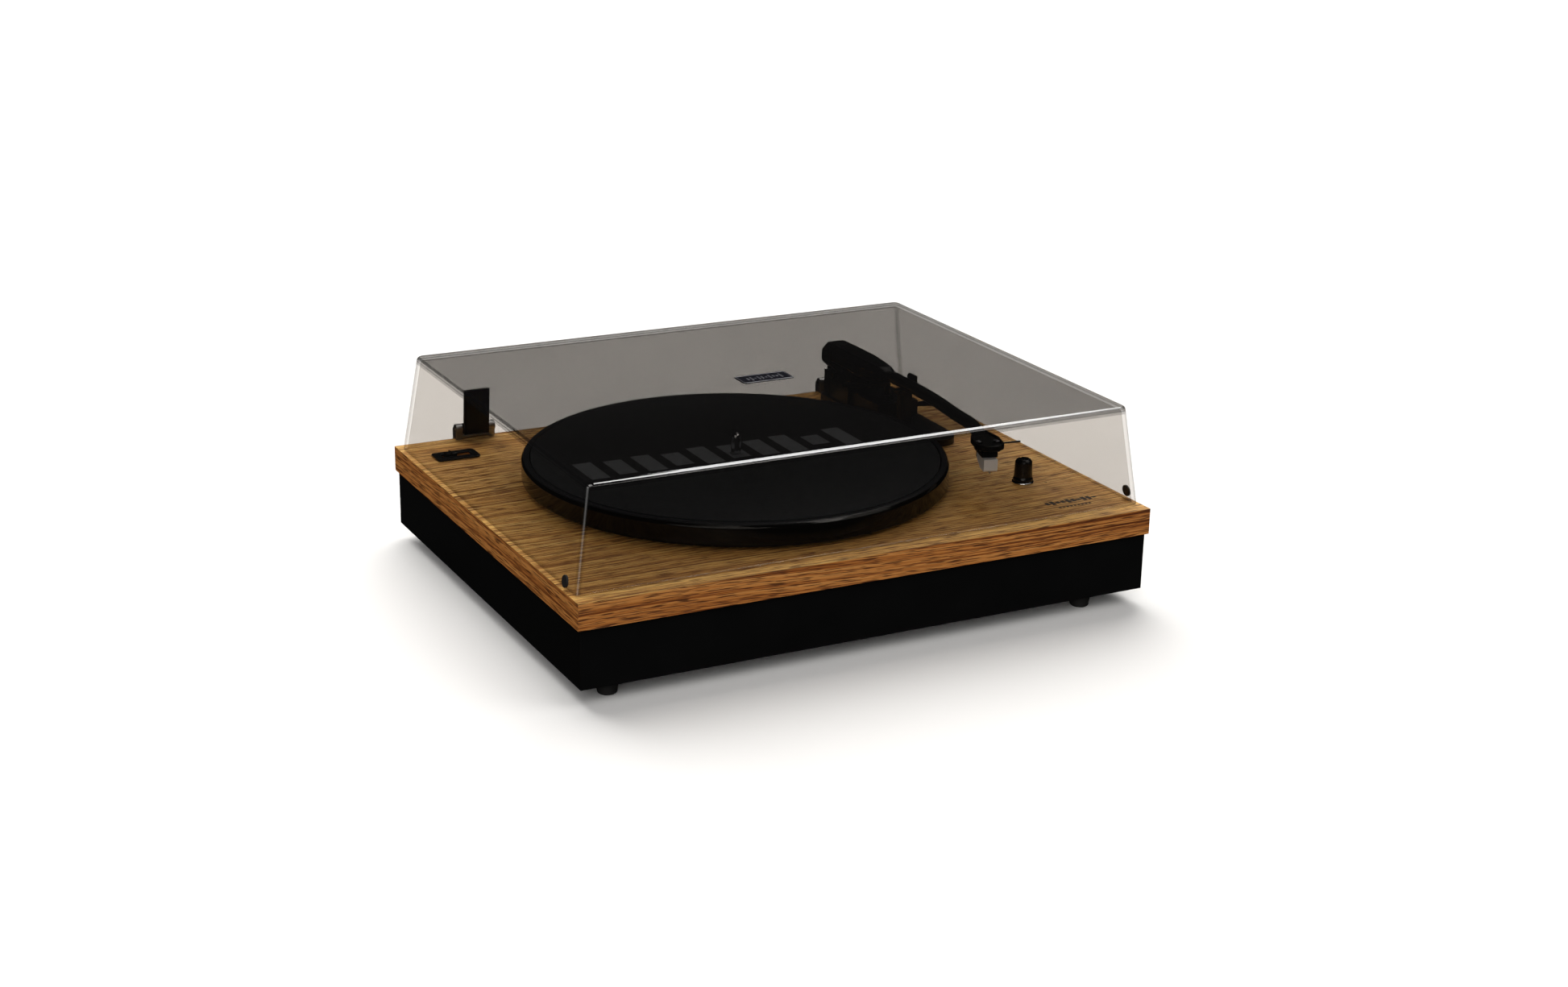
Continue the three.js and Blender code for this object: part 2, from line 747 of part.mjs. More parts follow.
add("arm_housing", makeHousing(), blackSatin);
add("counterweight", makeWeight(), blackSatin);
add("arm_tube", makeTube(), blackSatin);
add("gimbal_pin", barX(pinRadius, [armX - yokeHalf - 1, armX + yokeHalf + 1], [armY, pinZ], 12), brightSteel);
turntable.add(shell);
add("headshell", makeHeadshell(), blackSatin, shell);
add("headshell_screw_left", makeShellScrew(-screwHalf), brightSteel, shell);
add("headshell_screw_right", makeShellScrew(screwHalf), brightSteel, shell);
add("finger_lift", makeFingerLift(), blackSatin, shell);
add("cartridge_body", makeCartridge(), blackSatin, shell);
add("stylus_holder", makeStylusHolder(), offWhite, shell);
add("stylus", makeStylus(), aluminium, shell);

// ---- Cue lever and lift bar ----

const liftTop = armBelly - 2 * gap;

function makeLiftBar() {
  const start = -liftSweep;
  const end = 10;
  const half = 3;
  const arc = new THREE.Shape();
  const [from, to] = [degrees(start - 90), degrees(end - 90)];
  arc.absarc(0, 0, liftReach + half, from, to, false);
  arc.absarc(0, 0, liftReach - half, to, from, true);
  const band = plate(arc, [liftTop - 2.5, liftTop], 10).translate(armX, armY, 0);
  return join(band, barZ(liftRod, [trayTop + 10, liftTop - 1], liftRodPlace, 14));
}

function makeCueLever() {
  const [y, z] = leverAxis;
  const shaftEnd = leverHead[1] + 1;
  const grip = new THREE.CylinderGeometry(2.6, 1.9, 15, 14).translate(0, 7.5, 0);
  grip.rotateX(degrees(8)).rotateZ(-degrees(125)).translate(shaftEnd - 0.6, y, z);
  return join(barX(2, [leverHead[0] - 0.5, shaftEnd + 0.6], [y, z], 14), grip);
}

add("lift_bar", makeLiftBar(), blackSatin);
add("cue_lever", makeCueLever(), blackSatin);

// ---- Volume knob and its potentiometer ----

const knobBottom = slabTop + 1.2;
const knobTop = slabTop + knobHeight;
const potShaft = 3;

function makeKnob() {
  const body = turned([
    [0, knobBottom],
    [knobRadius + 0.6, knobBottom],
    [knobRadius + 0.6, knobBottom + 1.6],
    [knobRadius, knobBottom + 2.8],
    [knobRadius - 0.5, knobTop - 1.6],
    [knobRadius - 1.8, knobTop - 0.3],
    [knobRadius - 3, knobTop],
    [0, knobTop],
  ], 28);
  const shaftRoom = barZ(potShaft + gap, [knobBottom - 1, knobTop - 4]);
  const pointer = block([-0.8, 0.8], [0, knobRadius + 1], [knobTop - 1.4, knobTop + 1]);
  return cut(body, shaftRoom, pointer);
}

function makePotentiometer() {
  const bore = potShaft + gap;
  const bottom = trayTop - 14;
  return turned([
    [0, bottom],
    [8.5, bottom],
    [8.5, trayTop - 2 * gap],
    [potBushing, trayTop - 2 * gap],
    [potBushing, slabTop - 2],
    [bore, slabTop - 2],
    [bore, bottom + 3],
    [0, bottom + 3],
  ], 20);
}

function makeKnobRing() {
  const z = [slabTop + gap, slabTop + 0.9];
  const hole = potBushing + gap;
  const outer = knobRadius + 1.4;
  return turnedRing([[hole, z[0]], [outer, z[0]], [outer - 0.3, z[1]], [hole, z[1]]], 28);
}

const volume = new THREE.Group();
volume.position.set(...knobPlace, 0);
turntable.add(volume);
add("volume_knob", makeKnob(), blackGloss, volume);
add("knob_shaft", barZ(potShaft, [trayTop - 11 + gap, knobTop - 4 - gap], [0, 0], 18), zincPlate, volume);
add("knob_ring", makeKnobRing(), brightSteel, volume);
add("potentiometer", makePotentiometer(), zincPlate, volume);

// ---- Speed selector at the back left ----

const speedTravel = 8;

function makeSpeedFrame() {
  const z = [slabTop + gap, slabTop + 1.6];
  const half = speedSlot.map((size) => size + 3);
  const outline = roundedShape([-half[0], half[0]], [-half[1], half[1]], 3);
  return cut(plate(outline, z), block([-10.5, 10.5], [-3.4, 3.4], [z[0] - 1, z[1] + 1]));
}

function makeSpeedSlider() {
  const halfX = 4;
  const left = -speedTravel / 2;
  return join(
    block([left - halfX, left + halfX], [-2.9, 2.9], [slabTop - 6, slabTop + 3.4]),
    block([left - 0.6, left + 0.6], [-2.9, 2.9], [slabTop + 3, slabTop + 4.4]),
  );
}

const speed = new THREE.Group();
speed.position.set(...speedPlace, 0);
turntable.add(speed);
add("speed_frame", makeSpeedFrame(), blackSatin, speed);
add("speed_slider", makeSpeedSlider(), blackSatin, speed);

// ---- Rear panel and sockets ----

const panelY = [trayY - trayWall + 0.4, trayY - 0.4];
const socketZ = (panelZ[0] + panelZ[1]) / 2;
const socketRadius = 4.1;
const sockets = { dc: -80, aux: -56, line: -20, speaker: 30, rocker: 76 };
const pairHalf = 9;

function makePanel() {
  const rocker = [9, 6.5];
  const through = [panelY[0] - 1, panelY[1] + 1];
  const round = (x, radius) => barY(radius, through, [x, socketZ], 18);
  return cut(
    block([-panelWidth / 2, panelWidth / 2], panelY, panelZ),
    block([sockets.rocker - rocker[0] - gap, sockets.rocker + rocker[0] + gap], through, [
      socketZ - rocker[1] - gap,
      socketZ + rocker[1] + gap,
    ]),
    round(sockets.dc, 5 + gap),
    round(sockets.aux, 4 + gap),
    ...[sockets.line, sockets.speaker].flatMap((x) => [
      round(x - pairHalf, socketRadius + gap),
      round(x + pairHalf, socketRadius + gap),
    ]),
  );
}

// Two phono sockets standing out of one moulded block behind the panel.
function makePhonoPair(x) {
  const back = [panelY[0] - gap - 9, panelY[0] - gap];
  const tip = trayY + jackReach;
  const centres = [x - pairHalf, x + pairHalf];
  const body = block([x - 17, x + 17], back, [socketZ - 8, socketZ + 8]);
  const barrels = centres.map((cx) => barY(socketRadius, [back[1] - 1, tip], [cx, socketZ], 18));
  const bores = centres.map((cx) => barY(1.7, [tip - 8, tip + 1], [cx, socketZ], 12));
  return cut(join(body, ...barrels), ...bores);
}

function makeRoundSocket(x, radius, bore, bodyHalf) {
  const back = [panelY[0] - gap - 10, panelY[0] - gap];
  const tip = panelY[1] + 1.2;
  const body = join(
    block([x - bodyHalf, x + bodyHalf], back, [socketZ - bodyHalf, socketZ + bodyHalf]),
    barY(radius, [back[1] - 1, tip], [x, socketZ], 18),
  );
  return cut(body, barY(bore, [back[0] + 2, tip + 1], [x, socketZ], 14));
}

const rockerHalf = 6;
const rockerTilt = 10;

function makeRockerFrame() {
  const x = sockets.rocker;
  const y = [panelY[0] - 11, panelY[1] + 1];
  const frame = block([x - 9, x + 9], [y[0], panelY[1] + 1], [socketZ - 6.5, socketZ + 6.5]);
  const well = block([x - 7, x + 7], [y[0] + 2, y[1] + 1], [socketZ - 5, socketZ + 5]);
  return cut(frame, well);
}

// The rocker turns on X and lies tipped to its off side.
function makeRocker() {
  const side = new THREE.Shape();
  side.moveTo(-3.8, -4);
  side.lineTo(3.8, -4);
  side.lineTo(4.3, 1.6);
  side.lineTo(0, 0.9);
  side.lineTo(-4.3, 1.6);
  const key = new THREE.ExtrudeGeometry(side, { depth: 2 * rockerHalf, bevelEnabled: false });
  return key.rotateY(-Math.PI / 2).rotateX(degrees(rockerTilt)).translate(rockerHalf, 0, 0);
}

add("rear_panel", makePanel(), blackSatin);
add("dc_inlet", makeRoundSocket(sockets.dc, 5, 3.3, 6.5), blackSatin);
add("aux_socket", makeRoundSocket(sockets.aux, 4, 1.8, 6), blackSatin);
add("line_out_sockets", makePhonoPair(sockets.line), zincPlate);
add("speaker_sockets", makePhonoPair(sockets.speaker), zincPlate);
add("rocker_frame", makeRockerFrame(), blackSatin);
const rocker = add("power_rocker", makeRocker(), blackGloss);
rocker.position.set(sockets.rocker, panelY[1] - 1, socketZ);

// ---- Amplifier board ----

const boardZ = trayFloor + 5;
const boardX = [-70, 60];
const boardY = [trayY - 92, trayY - 24];

function makeBoard() {
  const sheet = block(boardX, boardY, [boardZ, boardZ + 1.6]);
  const legs = boardX.flatMap((x) =>
    boardY.map((y) => {
      const place = [x - 5 * Math.sign(x), y + (y === boardY[0] ? 5 : -5)];
      return barZ(2.5, [trayFloor + gap, boardZ + 0.5], place, 12);
    }),
  );
  return join(sheet, ...legs);
}

function makeHeatsink() {
  const z = boardZ + 1.6 + gap;
  const y = [boardY[0] + 14, boardY[0] + 40];
  const fins = Array.from({ length: 5 }, (_, i) => block([-41 + 6 * i, -39 + 6 * i], y, [z + 1, z + 14]));
  return join(block([-42, -14], y, [z, z + 2]), ...fins);
}

add("amplifier_board", makeBoard(), boardGreen);
add("board_heatsink", makeHeatsink(), aluminium);
add(
  "filter_capacitor",
  barZ(6.5, [boardZ + 1.6 + gap, boardZ + 20], [20, boardY[0] + 26], 24),
  blackSatin,
);

// ---- Dust cover and its hinges ----

const coverBottom = slabTop + 0.5;
const coverTop = slabTop + coverRise;
const coverFoot = {
  x: deckWidth / 2 - coverSideMargin,
  front: -deckDepth / 2 + coverFrontMargin,
  rear: deckDepth / 2 - coverRearMargin,
};
const hingePlace = [deckDepth / 2 - hingeInset, slabTop + hingeRise];
const endLeanAngle = Math.atan(coverEndLean / (coverTop - coverBottom));
const sideLeanAngle = Math.atan(coverSideLean / (coverTop - coverBottom));

// The cover's outline at a height, drawn in by an inset.
function coverRing(z, inset, corner) {
  const share = (z - coverBottom) / (coverTop - coverBottom);
  const x = coverFoot.x - coverSideLean * share - inset;
  const y = [coverFoot.front + coverEndLean * share + inset, coverFoot.rear - coverEndLean * share - inset];
  return roundedRing([-x, x], y, z, corner, 4).reverse();
}

function makeCover() {
  const inner = coverCorner - coverWall;
  return loft([
    coverRing(coverTop, 1.8, coverCorner - 1.8),
    coverRing(coverTop - 0.5, 0.5, coverCorner - 0.5),
    coverRing(coverTop - 1.8, 0, coverCorner),
    coverRing(coverBottom, 0, coverCorner),
    coverRing(coverBottom, coverWall, inner),
    coverRing(coverTop - coverWall, coverWall, inner),
  ]);
}

function makeHingeLeaf(x) {
  const [y, z] = hingePlace;
  const half = hingeHalf - 5.5;
  const wallY = coverFoot.rear - (z - coverBottom) * Math.tan(endLeanAngle);
  const strap = block([-half, half], [0, 3], [-4, 30]).rotateX(endLeanAngle);
  strap.translate(0, wallY + gap + 0.1, z);
  const web = block([-half, half], [wallY + 2, y], [z - 1.6, z + 1.6]);
  const leaf = join(strap, web, barX(hingeBarrel, [-half, half], hingePlace));
  return cut(leaf, barX(hingePin + gap, [-hingeHalf, hingeHalf], hingePlace, 14)).translate(x, 0, 0);
}

function makeHingeBracket(x) {
  const [y, z] = hingePlace;
  const rear = deckDepth / 2 + gap;
  const back = block([-hingeHalf, hingeHalf], [rear, rear + 2], [slabTop - 14, z - 3]);
  const ears = [-1, 1].flatMap((side) => {
    const span = side < 0 ? [-hingeHalf, -hingeHalf + 5] : [hingeHalf - 5, hingeHalf];
    return [block(span, [y - 2, rear + 2], [slabTop + gap, z]), barX(hingeBarrel, span, hingePlace)];
  });
  const ledge = block([-hingeHalf, hingeHalf], [rear - 3, rear + 2], [slabTop + gap, slabTop + gap + 1.6]);
  const bracket = join(back, ledge, ...ears);
  const bore = barX(hingePin + gap, [-hingeHalf - 1, hingeHalf + 1], hingePlace, 14);
  return cut(bracket, bore).translate(x, 0, 0);
}

function makeBumper(side) {
  const height = 5;
  const bumper = new THREE.CylinderGeometry(4, 4, 1.2, 20).rotateZ(Math.PI / 2);
  bumper.rotateY(-side * sideLeanAngle);
  const wall = coverFoot.x - height * Math.tan(sideLeanAngle);
  return bumper.translate(side * (wall + 1), coverFoot.front + 16, coverBottom + height);
}

function makeBadge() {
  const outline = roundedShape([-19.5, 19.5], [-8.5, 8.5], 2);
  return plate(outline, [coverTop + gap, coverTop + gap + 0.8]).translate(3, 4, 0);
}

add("dust_cover", makeCover(), smokedClear);
add("cover_badge", makeBadge(), blackGloss);
for (const [side, name] of [[-1, "left"], [1, "right"]]) {
  add("cover_bumper_" + name, makeBumper(side), blackRubber);
  add("hinge_leaf_" + name, makeHingeLeaf(side * hingeReach), blackSatin);
  add("hinge_bracket_" + name, makeHingeBracket(side * hingeReach), zincPlate);
  const pin = barX(hingePin, [-hingeHalf - 0.5, hingeHalf + 0.5], hingePlace, 12);
  add("hinge_pin_" + name, pin.translate(side * hingeReach, 0, 0), brightSteel);
}

export default turntable;
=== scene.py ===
"""A belt-drive record player with a wood-grain deck and a hinged smoked cover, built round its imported
model. Metres, +Z up, +Y to the hinges at the back, the tonearm on the +X side."""

from math import cos, pi, radians, sin

import bmesh
import bpy
import numpy as np
from mathutils import Matrix, Vector


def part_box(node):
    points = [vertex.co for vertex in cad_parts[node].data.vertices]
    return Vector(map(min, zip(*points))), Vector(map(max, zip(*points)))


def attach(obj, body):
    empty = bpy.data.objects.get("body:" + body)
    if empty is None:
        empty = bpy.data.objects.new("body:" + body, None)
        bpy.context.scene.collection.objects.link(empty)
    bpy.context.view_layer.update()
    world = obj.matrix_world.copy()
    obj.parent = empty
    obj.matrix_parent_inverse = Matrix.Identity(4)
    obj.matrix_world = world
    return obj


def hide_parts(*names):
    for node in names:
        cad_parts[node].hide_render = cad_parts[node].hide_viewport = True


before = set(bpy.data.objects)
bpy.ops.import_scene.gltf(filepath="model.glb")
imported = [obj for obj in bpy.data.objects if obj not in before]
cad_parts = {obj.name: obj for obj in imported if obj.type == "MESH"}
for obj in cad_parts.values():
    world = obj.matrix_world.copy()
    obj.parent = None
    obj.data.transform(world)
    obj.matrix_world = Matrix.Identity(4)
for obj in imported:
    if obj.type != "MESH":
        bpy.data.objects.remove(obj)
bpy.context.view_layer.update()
scene = bpy.context.scene
mm = 0.001

# ---- Camera, floor and lights ----
# A plain white sweep under two very broad soft lights, with the camera at the left front corner, a
# little above the cover.

eye = Vector((-0.722, -1.405, 0.597))
yaw, pitch, roll = radians(27.85), radians(18.92), radians(1.15)
ahead = Vector((sin(yaw) * cos(pitch), cos(yaw) * cos(pitch), -sin(pitch)))
level = Vector((cos(yaw), -sin(yaw), 0))
upward = level.cross(ahead)
right = level * cos(roll) + upward * sin(roll)
top = upward * cos(roll) - level * sin(roll)
lens = bpy.data.cameras.new("camera")
lens.sensor_width = 36
lens.lens = 54.54
lens.clip_start = 0.01
camera = bpy.data.objects.new("camera", lens)
camera.matrix_world = Matrix.Translation(eye) @ Matrix((right, top, -ahead)).transposed().to_4x4()
scene.collection.objects.link(camera)
scene.camera = camera
scene.view_settings.view_transform = "Standard"


def surface(name, points, wrap=(False, True), caps=(True, True), crease=35):
    """A mesh over a grid of points, points[i, j]: each square of four neighbours is a face. wrap joins the
    last row or column to the first, and caps close the first and the last row with one face each."""
    rows, columns = points.shape[:2]
    i = np.arange(rows - (not wrap[0]))[:, None] + np.zeros((1, columns - (not wrap[1])), int)
    j = np.arange(columns - (not wrap[1]))[None, :] + np.zeros_like(i)
    next_i, next_j = (i + 1) % rows, (j + 1) % columns
    corners = (i * columns + j, i * columns + next_j, next_i * columns + next_j, next_i * columns + j)
    faces = np.stack(corners, -1).reshape(-1, 4).tolist()
    if caps[0]:
        faces.append(list(range(columns))[::-1])
    if caps[1]:
        faces.append(list(range((rows - 1) * columns, rows * columns)))
    mesh = bpy.data.meshes.new(name)
    mesh.from_pydata(points.reshape(-1, 3).tolist(), [], faces)
    mesh.shade_smooth()
    mesh.set_sharp_from_angle(angle=radians(crease))
    piece = bpy.data.objects.new(name, mesh)
    scene.collection.objects.link(piece)
    even = piece.modifiers.new("even_normals", "WEIGHTED_NORMAL")
    even.keep_sharp = True
    even.weight = 100
    return piece


class Signal:
    """One socket in a material. Sums and products written on it add Math nodes to that material."""

    def __init__(self, tree, socket=None):
        self.tree, self.socket = tree, socket

    def node(self, kind, settings, values, output=0):
        """Adds a node: its settings are set first, then each input takes a value or a Signal's link."""
        made = self.tree.nodes.new(kind)
        for key, value in settings.items():
            if key == "stops":
                ramp = made.color_ramp.elements
                ramp[0].position, ramp[1].position = value[0][0], value[-1][0]
                for place, _ in value[1:-1]:
                    ramp.new(place)
                for element, (_, colour) in zip(ramp, value):
                    element.color = (*colour, 1)
            else:
                setattr(made, key, value)
        for key, value in values.items():
            if isinstance(value, Signal):
                self.tree.links.new(value.socket, made.inputs[key])
            else:
                made.inputs[key].default_value = value
        return Signal(self.tree, made.outputs[output])

    def maths(self, operation, *others):
        return self.node("ShaderNodeMath", {"operation": operation}, dict(enumerate((self, *others))))

    def __add__(self, other):
        return self.maths("ADD", other)

    def __sub__(self, other):
        return self.maths("SUBTRACT", other)

    def __rsub__(self, other):
        return self.node("ShaderNodeMath", {"operation": "SUBTRACT"}, {0: other, 1: self})

    def __mul__(self, other):
        return self.maths("MULTIPLY", other)

    __radd__, __rmul__ = __add__, __mul__

    def ease(self, low, high):
        """0 below low, 1 above high, and smooth between them."""
        values = {"Value": self, "From Min": low, "From Max": high}
        return self.node("ShaderNodeMapRange", {"interpolation_type": "SMOOTHSTEP"}, values)

    def axes(self):
        return [self.node("ShaderNodeSeparateXYZ", {}, {0: self}, axis) for axis in range(3)]

    def noise(self, stretch, detail=2.0, roughness=0.5):
        """Smooth noise with that many lumps in a metre along x, y and z."""
        spread = self.node("ShaderNodeVectorMath", {"operation": "MULTIPLY"}, {0: self, 1: stretch})
        values = {"Vector": spread, "Scale": 1.0, "Detail": detail, "Roughness": roughness}
        return self.node("ShaderNodeTexNoise", {}, values)

    def blend(self, low, high):
        """A colour between two others."""
        return self.node("ShaderNodeMix", {"data_type": "RGBA"}, {0: self, 6: low, 7: high}, 2)

    def relief(self, depth):
        """This Signal as a height of that depth in metres, for a shader's Normal."""
        return self.node("ShaderNodeBump", {}, {"Strength": 1.0, "Distance": depth, "Height": self})


def set_values(shader, values):
    for key, value in values.items():
        if isinstance(value, Signal):
            value.tree.links.new(value.socket, shader.inputs[key])
        else:
            shader.inputs[key].default_value = value


def new_finish(name, **plain):
    """A material with the plain values of its shader set. Gives it, its shader and Object coordinates."""
    material = bpy.data.materials.new(name)
    material.use_nodes = True
    shader = material.node_tree.nodes["Principled BSDF"]
    set_values(shader, {key.replace("_", " "): value for key, value in plain.items()})
    place = Signal(material.node_tree).node("ShaderNodeTexCoord", {}, {}, "Object")
    return material, shader, place


paper, shader, place = new_finish("floor paper", Specular_IOR_Level=0.1)
mottle = place.noise((3.0, 3.0, 3.0))
set_values(shader, {
    "Base Color": mottle.blend((0.86, 0.86, 0.86, 1), (0.9, 0.9, 0.895, 1)),
    "Roughness": 0.75 + 0.1 * mottle,
})
# The floor is dark where it shows in a gloss, so that the black parts stay black.
tree = paper.node_tree
dull = Signal(tree).node("ShaderNodeBsdfDiffuse", {}, {"Color": (0.01, 0.01, 0.01, 1)})
mirrored = dull.node("ShaderNodeLightPath", {}, {}, "Is Reflection Ray")
lit = Signal(tree, shader.outputs[0])
lit_or_dull = dull.node("ShaderNodeMixShader", {}, {0: mirrored, 1: lit, 2: dull})
tree.links.new(lit_or_dull.socket, tree.nodes["Material Output"].inputs["Surface"])
reach = 14.0
corners = [[[x, y, 0] for x in (-reach, reach)] for y in (-reach, reach)]
floor = surface("studio_floor", np.array(corners, float), wrap=(False, False), caps=(False, False))
floor.data.materials.append(paper)

room = bpy.data.worlds.new("studio")
room.use_nodes = True
backdrop = Signal(room.node_tree)
shine = backdrop.node("ShaderNodeLightPath", {}, {}, "Is Glossy Ray")
air = shine.blend((0.12, 0.12, 0.125, 1), (0.01, 0.01, 0.011, 1))
seen = backdrop.node("ShaderNodeLightPath", {}, {}, "Is Camera Ray")
air = seen.blend(air, (1.0, 1.0, 1.0, 1))
room.node_tree.links.new(air.socket, room.node_tree.nodes["Background"].inputs["Color"])
scene.world = room

# name, strength, spread in degrees, and where the light stands as azimuth and elevation
for name, strength, spread, azimuth, height in (
    ("back light", 3.8, 60, 168, 50),
    ("front light", 1.35, 50, -35, 30),
    ("side light", 0.6, 40, 60, 50),
):
    lamp = bpy.data.lights.new(name, "SUN")
    lamp.energy = strength
    lamp.angle = radians(spread)
    lamp.color = (1.0, 0.98, 0.95)
    stand = bpy.data.objects.new(name, lamp)
    azimuth, height = radians(azimuth), radians(height)
    source = Vector((sin(azimuth) * cos(height), -cos(azimuth) * cos(height), sin(height)))
    stand.rotation_euler = source.to_track_quat("Z", "Y").to_euler()
    stand.visible_glossy = name != "back light"
    scene.collection.objects.link(stand)

# A long lamp overhead that only shines back from polished edges.
strip = bpy.data.lights.new("strip light", "AREA")
strip.shape = "RECTANGLE"
strip.size, strip.size_y = 2.4, 0.6
strip.energy = 28
hung = bpy.data.objects.new("strip light", strip)
hung.location = (0.75, -0.1, 1.45)
hung.rotation_euler = Vector(hung.location).to_track_quat("Z", "Y").to_euler()
hung.visible_diffuse = False
hung.visible_transmission = False
scene.collection.objects.link(hung)

# ---- Tray and feet ----
# The body is a shallow tray of moulded black plastic with a fine satin texture. Its four feet are
# turned-looking rubber mouldings, each with a peg that snaps through the tray's floor.


def moulded_black(name, base, rough, grain=1.0):
    """Satin black plastic: spark-eroded texture of fine lumps, and patches that shine a little more."""
    material, shader, place = new_finish(name, Specular_IOR_Level=0.25)
    fine = place.noise((2600.0, 2600.0, 2600.0), 3.0)
    patches = place.noise((28.0, 28.0, 28.0), 3.0)
    darker = (base * 0.8, base * 0.8, base * 0.85, 1)
    paler = (base * 1.3, base * 1.3, base * 1.35, 1)
    set_values(shader, {
        "Base Color": patches.blend(darker, paler),
        "Roughness": rough - 0.06 + 0.12 * patches,
        "Normal": fine.relief(0.00003 * grain),
    })
    return material


def finished(node, width, segments=3, crease=30):
    """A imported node's shape with its edges rounded: its triangles are merged back into flat faces, and a
    bevel of that width runs along every edge sharper than the crease angle."""
    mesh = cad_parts[node].data.copy()
    shape = bmesh.new()
    shape.from_mesh(mesh)
    bmesh.ops.remove_doubles(shape, verts=shape.verts, dist=1e-6)
    bmesh.ops.dissolve_limit(shape, angle_limit=radians(0.6), verts=shape.verts, edges=shape.edges)
    shape.to_mesh(mesh)
    shape.free()
    mesh.materials.clear()
    mesh.shade_smooth()
    mesh.set_sharp_from_angle(angle=radians(crease + 5))
    piece = bpy.data.objects.new(node + "_finished", mesh)
    scene.collection.objects.link(piece)
    edge = piece.modifiers.new("rounded edges", "BEVEL")
    edge.width = width
    edge.segments = segments
    edge.limit_method = "ANGLE"
    edge.angle_limit = radians(crease)
    edge.harden_normals = True
    return piece


def settle(piece, body, material, slot, *nodes):
    """Gives a piece its finish and its CAD body, and hides the nodes that it stands for. slot is not used.
    """
    piece.data.materials.clear()
    piece.data.materials.append(material)
    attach(piece, body)
    if nodes:
        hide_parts(*nodes)
    return piece


def dress(material, *nodes):
    """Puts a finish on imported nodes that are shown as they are."""
    for node in nodes:
        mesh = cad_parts[node].data
        mesh.materials.clear()
        mesh.materials.append(material)


tray_black = moulded_black("tray black", 0.003, 0.42)
settle(finished("base_tray", 0.8 * mm), "deck", tray_black, "black_tray", "base_tray")


def rounded(profile, radius, steps=4, closed=False):
    """A profile with its corners eased: a corner gives way to a curve that starts and ends radius away from
    it, or half a side away where that is less: p = (1-t)^2 start + 2t(1-t) corner + t^2 end."""
    profile = np.asarray(profile, float)
    before, after = np.roll(profile, 1, 0), np.roll(profile, -1, 0)
    arms = []
    for other in (before, after):
        arm = other - profile
        size = np.maximum(np.linalg.norm(arm, axis=1), 1e-12)
        arms.append(profile + arm / size[:, None] * np.minimum(radius, size * 0.5)[:, None])
    t = np.linspace(0, 1, steps + 1)[None, :, None]
    curve = (1 - t) ** 2 * arms[0][:, None] + 2 * t * (1 - t) * profile[:, None] + t**2 * arms[1][:, None]
    if closed:
        return curve.reshape(-1, profile.shape[1])
    inner = curve[1:-1].reshape(-1, profile.shape[1])
    return np.vstack([profile[:1], inner, profile[-1:]])


def turned(name, profile, centre, sides=96, wrap=False):
    """A profile of (radius, height) turned about an upright axis: x = r cos a, y = r sin a, z = height."""
    profile = np.asarray(profile, float)
    angle = np.linspace(0, 2 * pi, sides, endpoint=False)[None, :]
    radius, height = profile[:, :1], profile[:, 1:]
    x, y = centre[0] + radius * np.cos(angle), centre[1] + radius * np.sin(angle)
    grid = np.stack([x, y, height + 0 * angle], -1)
    return surface(name, grid, wrap=(wrap, True), caps=(not wrap, not wrap))


rubber, shader, place = new_finish("black rubber")
dust = place.noise((900.0, 900.0, 900.0), 4.0)
set_values(shader, {
    "Base Color": dust.blend((0.006, 0.006, 0.006, 1), (0.022, 0.021, 0.02, 1)),
    "Roughness": 0.62 + 0.2 * dust,
    "Normal": dust.relief(0.00006),
})
foot_top = 10.7 * mm
stem, barb, barb_depth = 1.8 * mm, 2.7 * mm, 3 * mm
for corner in ("front_left", "front_right", "rear_left", "rear_right"):
    node = "foot_" + corner
    low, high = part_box(node)
    middle = (low + high) / 2
    foot_radius = (high.x - low.x) / 2
    profile = [
        (0.5 * mm, low.z),
        (foot_radius - 2 * mm, low.z),
        (foot_radius - 1.2 * mm, 0.8 * mm),
        (foot_radius, foot_top - 1.4 * mm),
        (foot_radius, foot_top - 0.6 * mm),
        (foot_radius - 0.6 * mm, foot_top),
        (stem, foot_top),
        (stem, high.z - barb_depth),
        (barb, high.z - barb_depth),
        (0.8 * mm, high.z),
    ]
    piece = turned(node + "_rubber", rounded(profile, 0.5 * mm), middle, 64)
    settle(piece, "deck", rubber, "black_rubber", node)

# ---- Deck slab ----
# A board of medium-density fibre wrapped in oak-grain vinyl. The print runs from end to end along the
# top, folds over the front and back edges, and runs level round the two ends.

slab = finished("top_slab", 0.7 * mm, 3, 40)
mesh = slab.data
low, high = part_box("top_slab")
# Each face corner gets a place in the sheet: u along the grain and v across it, both in metres.
corner = np.empty(len(mesh.loops), int)
mesh.loops.foreach_get("vertex_index", corner)
co = np.empty(len(mesh.vertices) * 3)
mesh.vertices.foreach_get("co", co)
co = co.reshape(-1, 3)[corner]
sizes = np.empty(len(mesh.polygons), int)
mesh.polygons.foreach_get("loop_total", sizes)
facing = np.empty(len(mesh.polygons) * 3)
mesh.polygons.foreach_get("normal", facing)
facing = np.repeat(facing.reshape(-1, 3), sizes, 0)
is_end, is_long_edge = abs(facing[:, 0]) > 0.7, abs(facing[:, 1]) > 0.7
end_piece_start, down = 0.7, high.z - co[:, 2]
along = np.where(is_end, co[:, 1] + end_piece_start, co[:, 0])
fold = np.where(facing[:, 1] < 0, low.y - down, high.y + down)
across = np.where(is_long_edge, fold, np.where(is_end, co[:, 2], co[:, 1]))
grain_map = mesh.uv_layers.new(name="grain")
grain_map.data.foreach_set("uv", np.stack([along, across], -1).ravel())

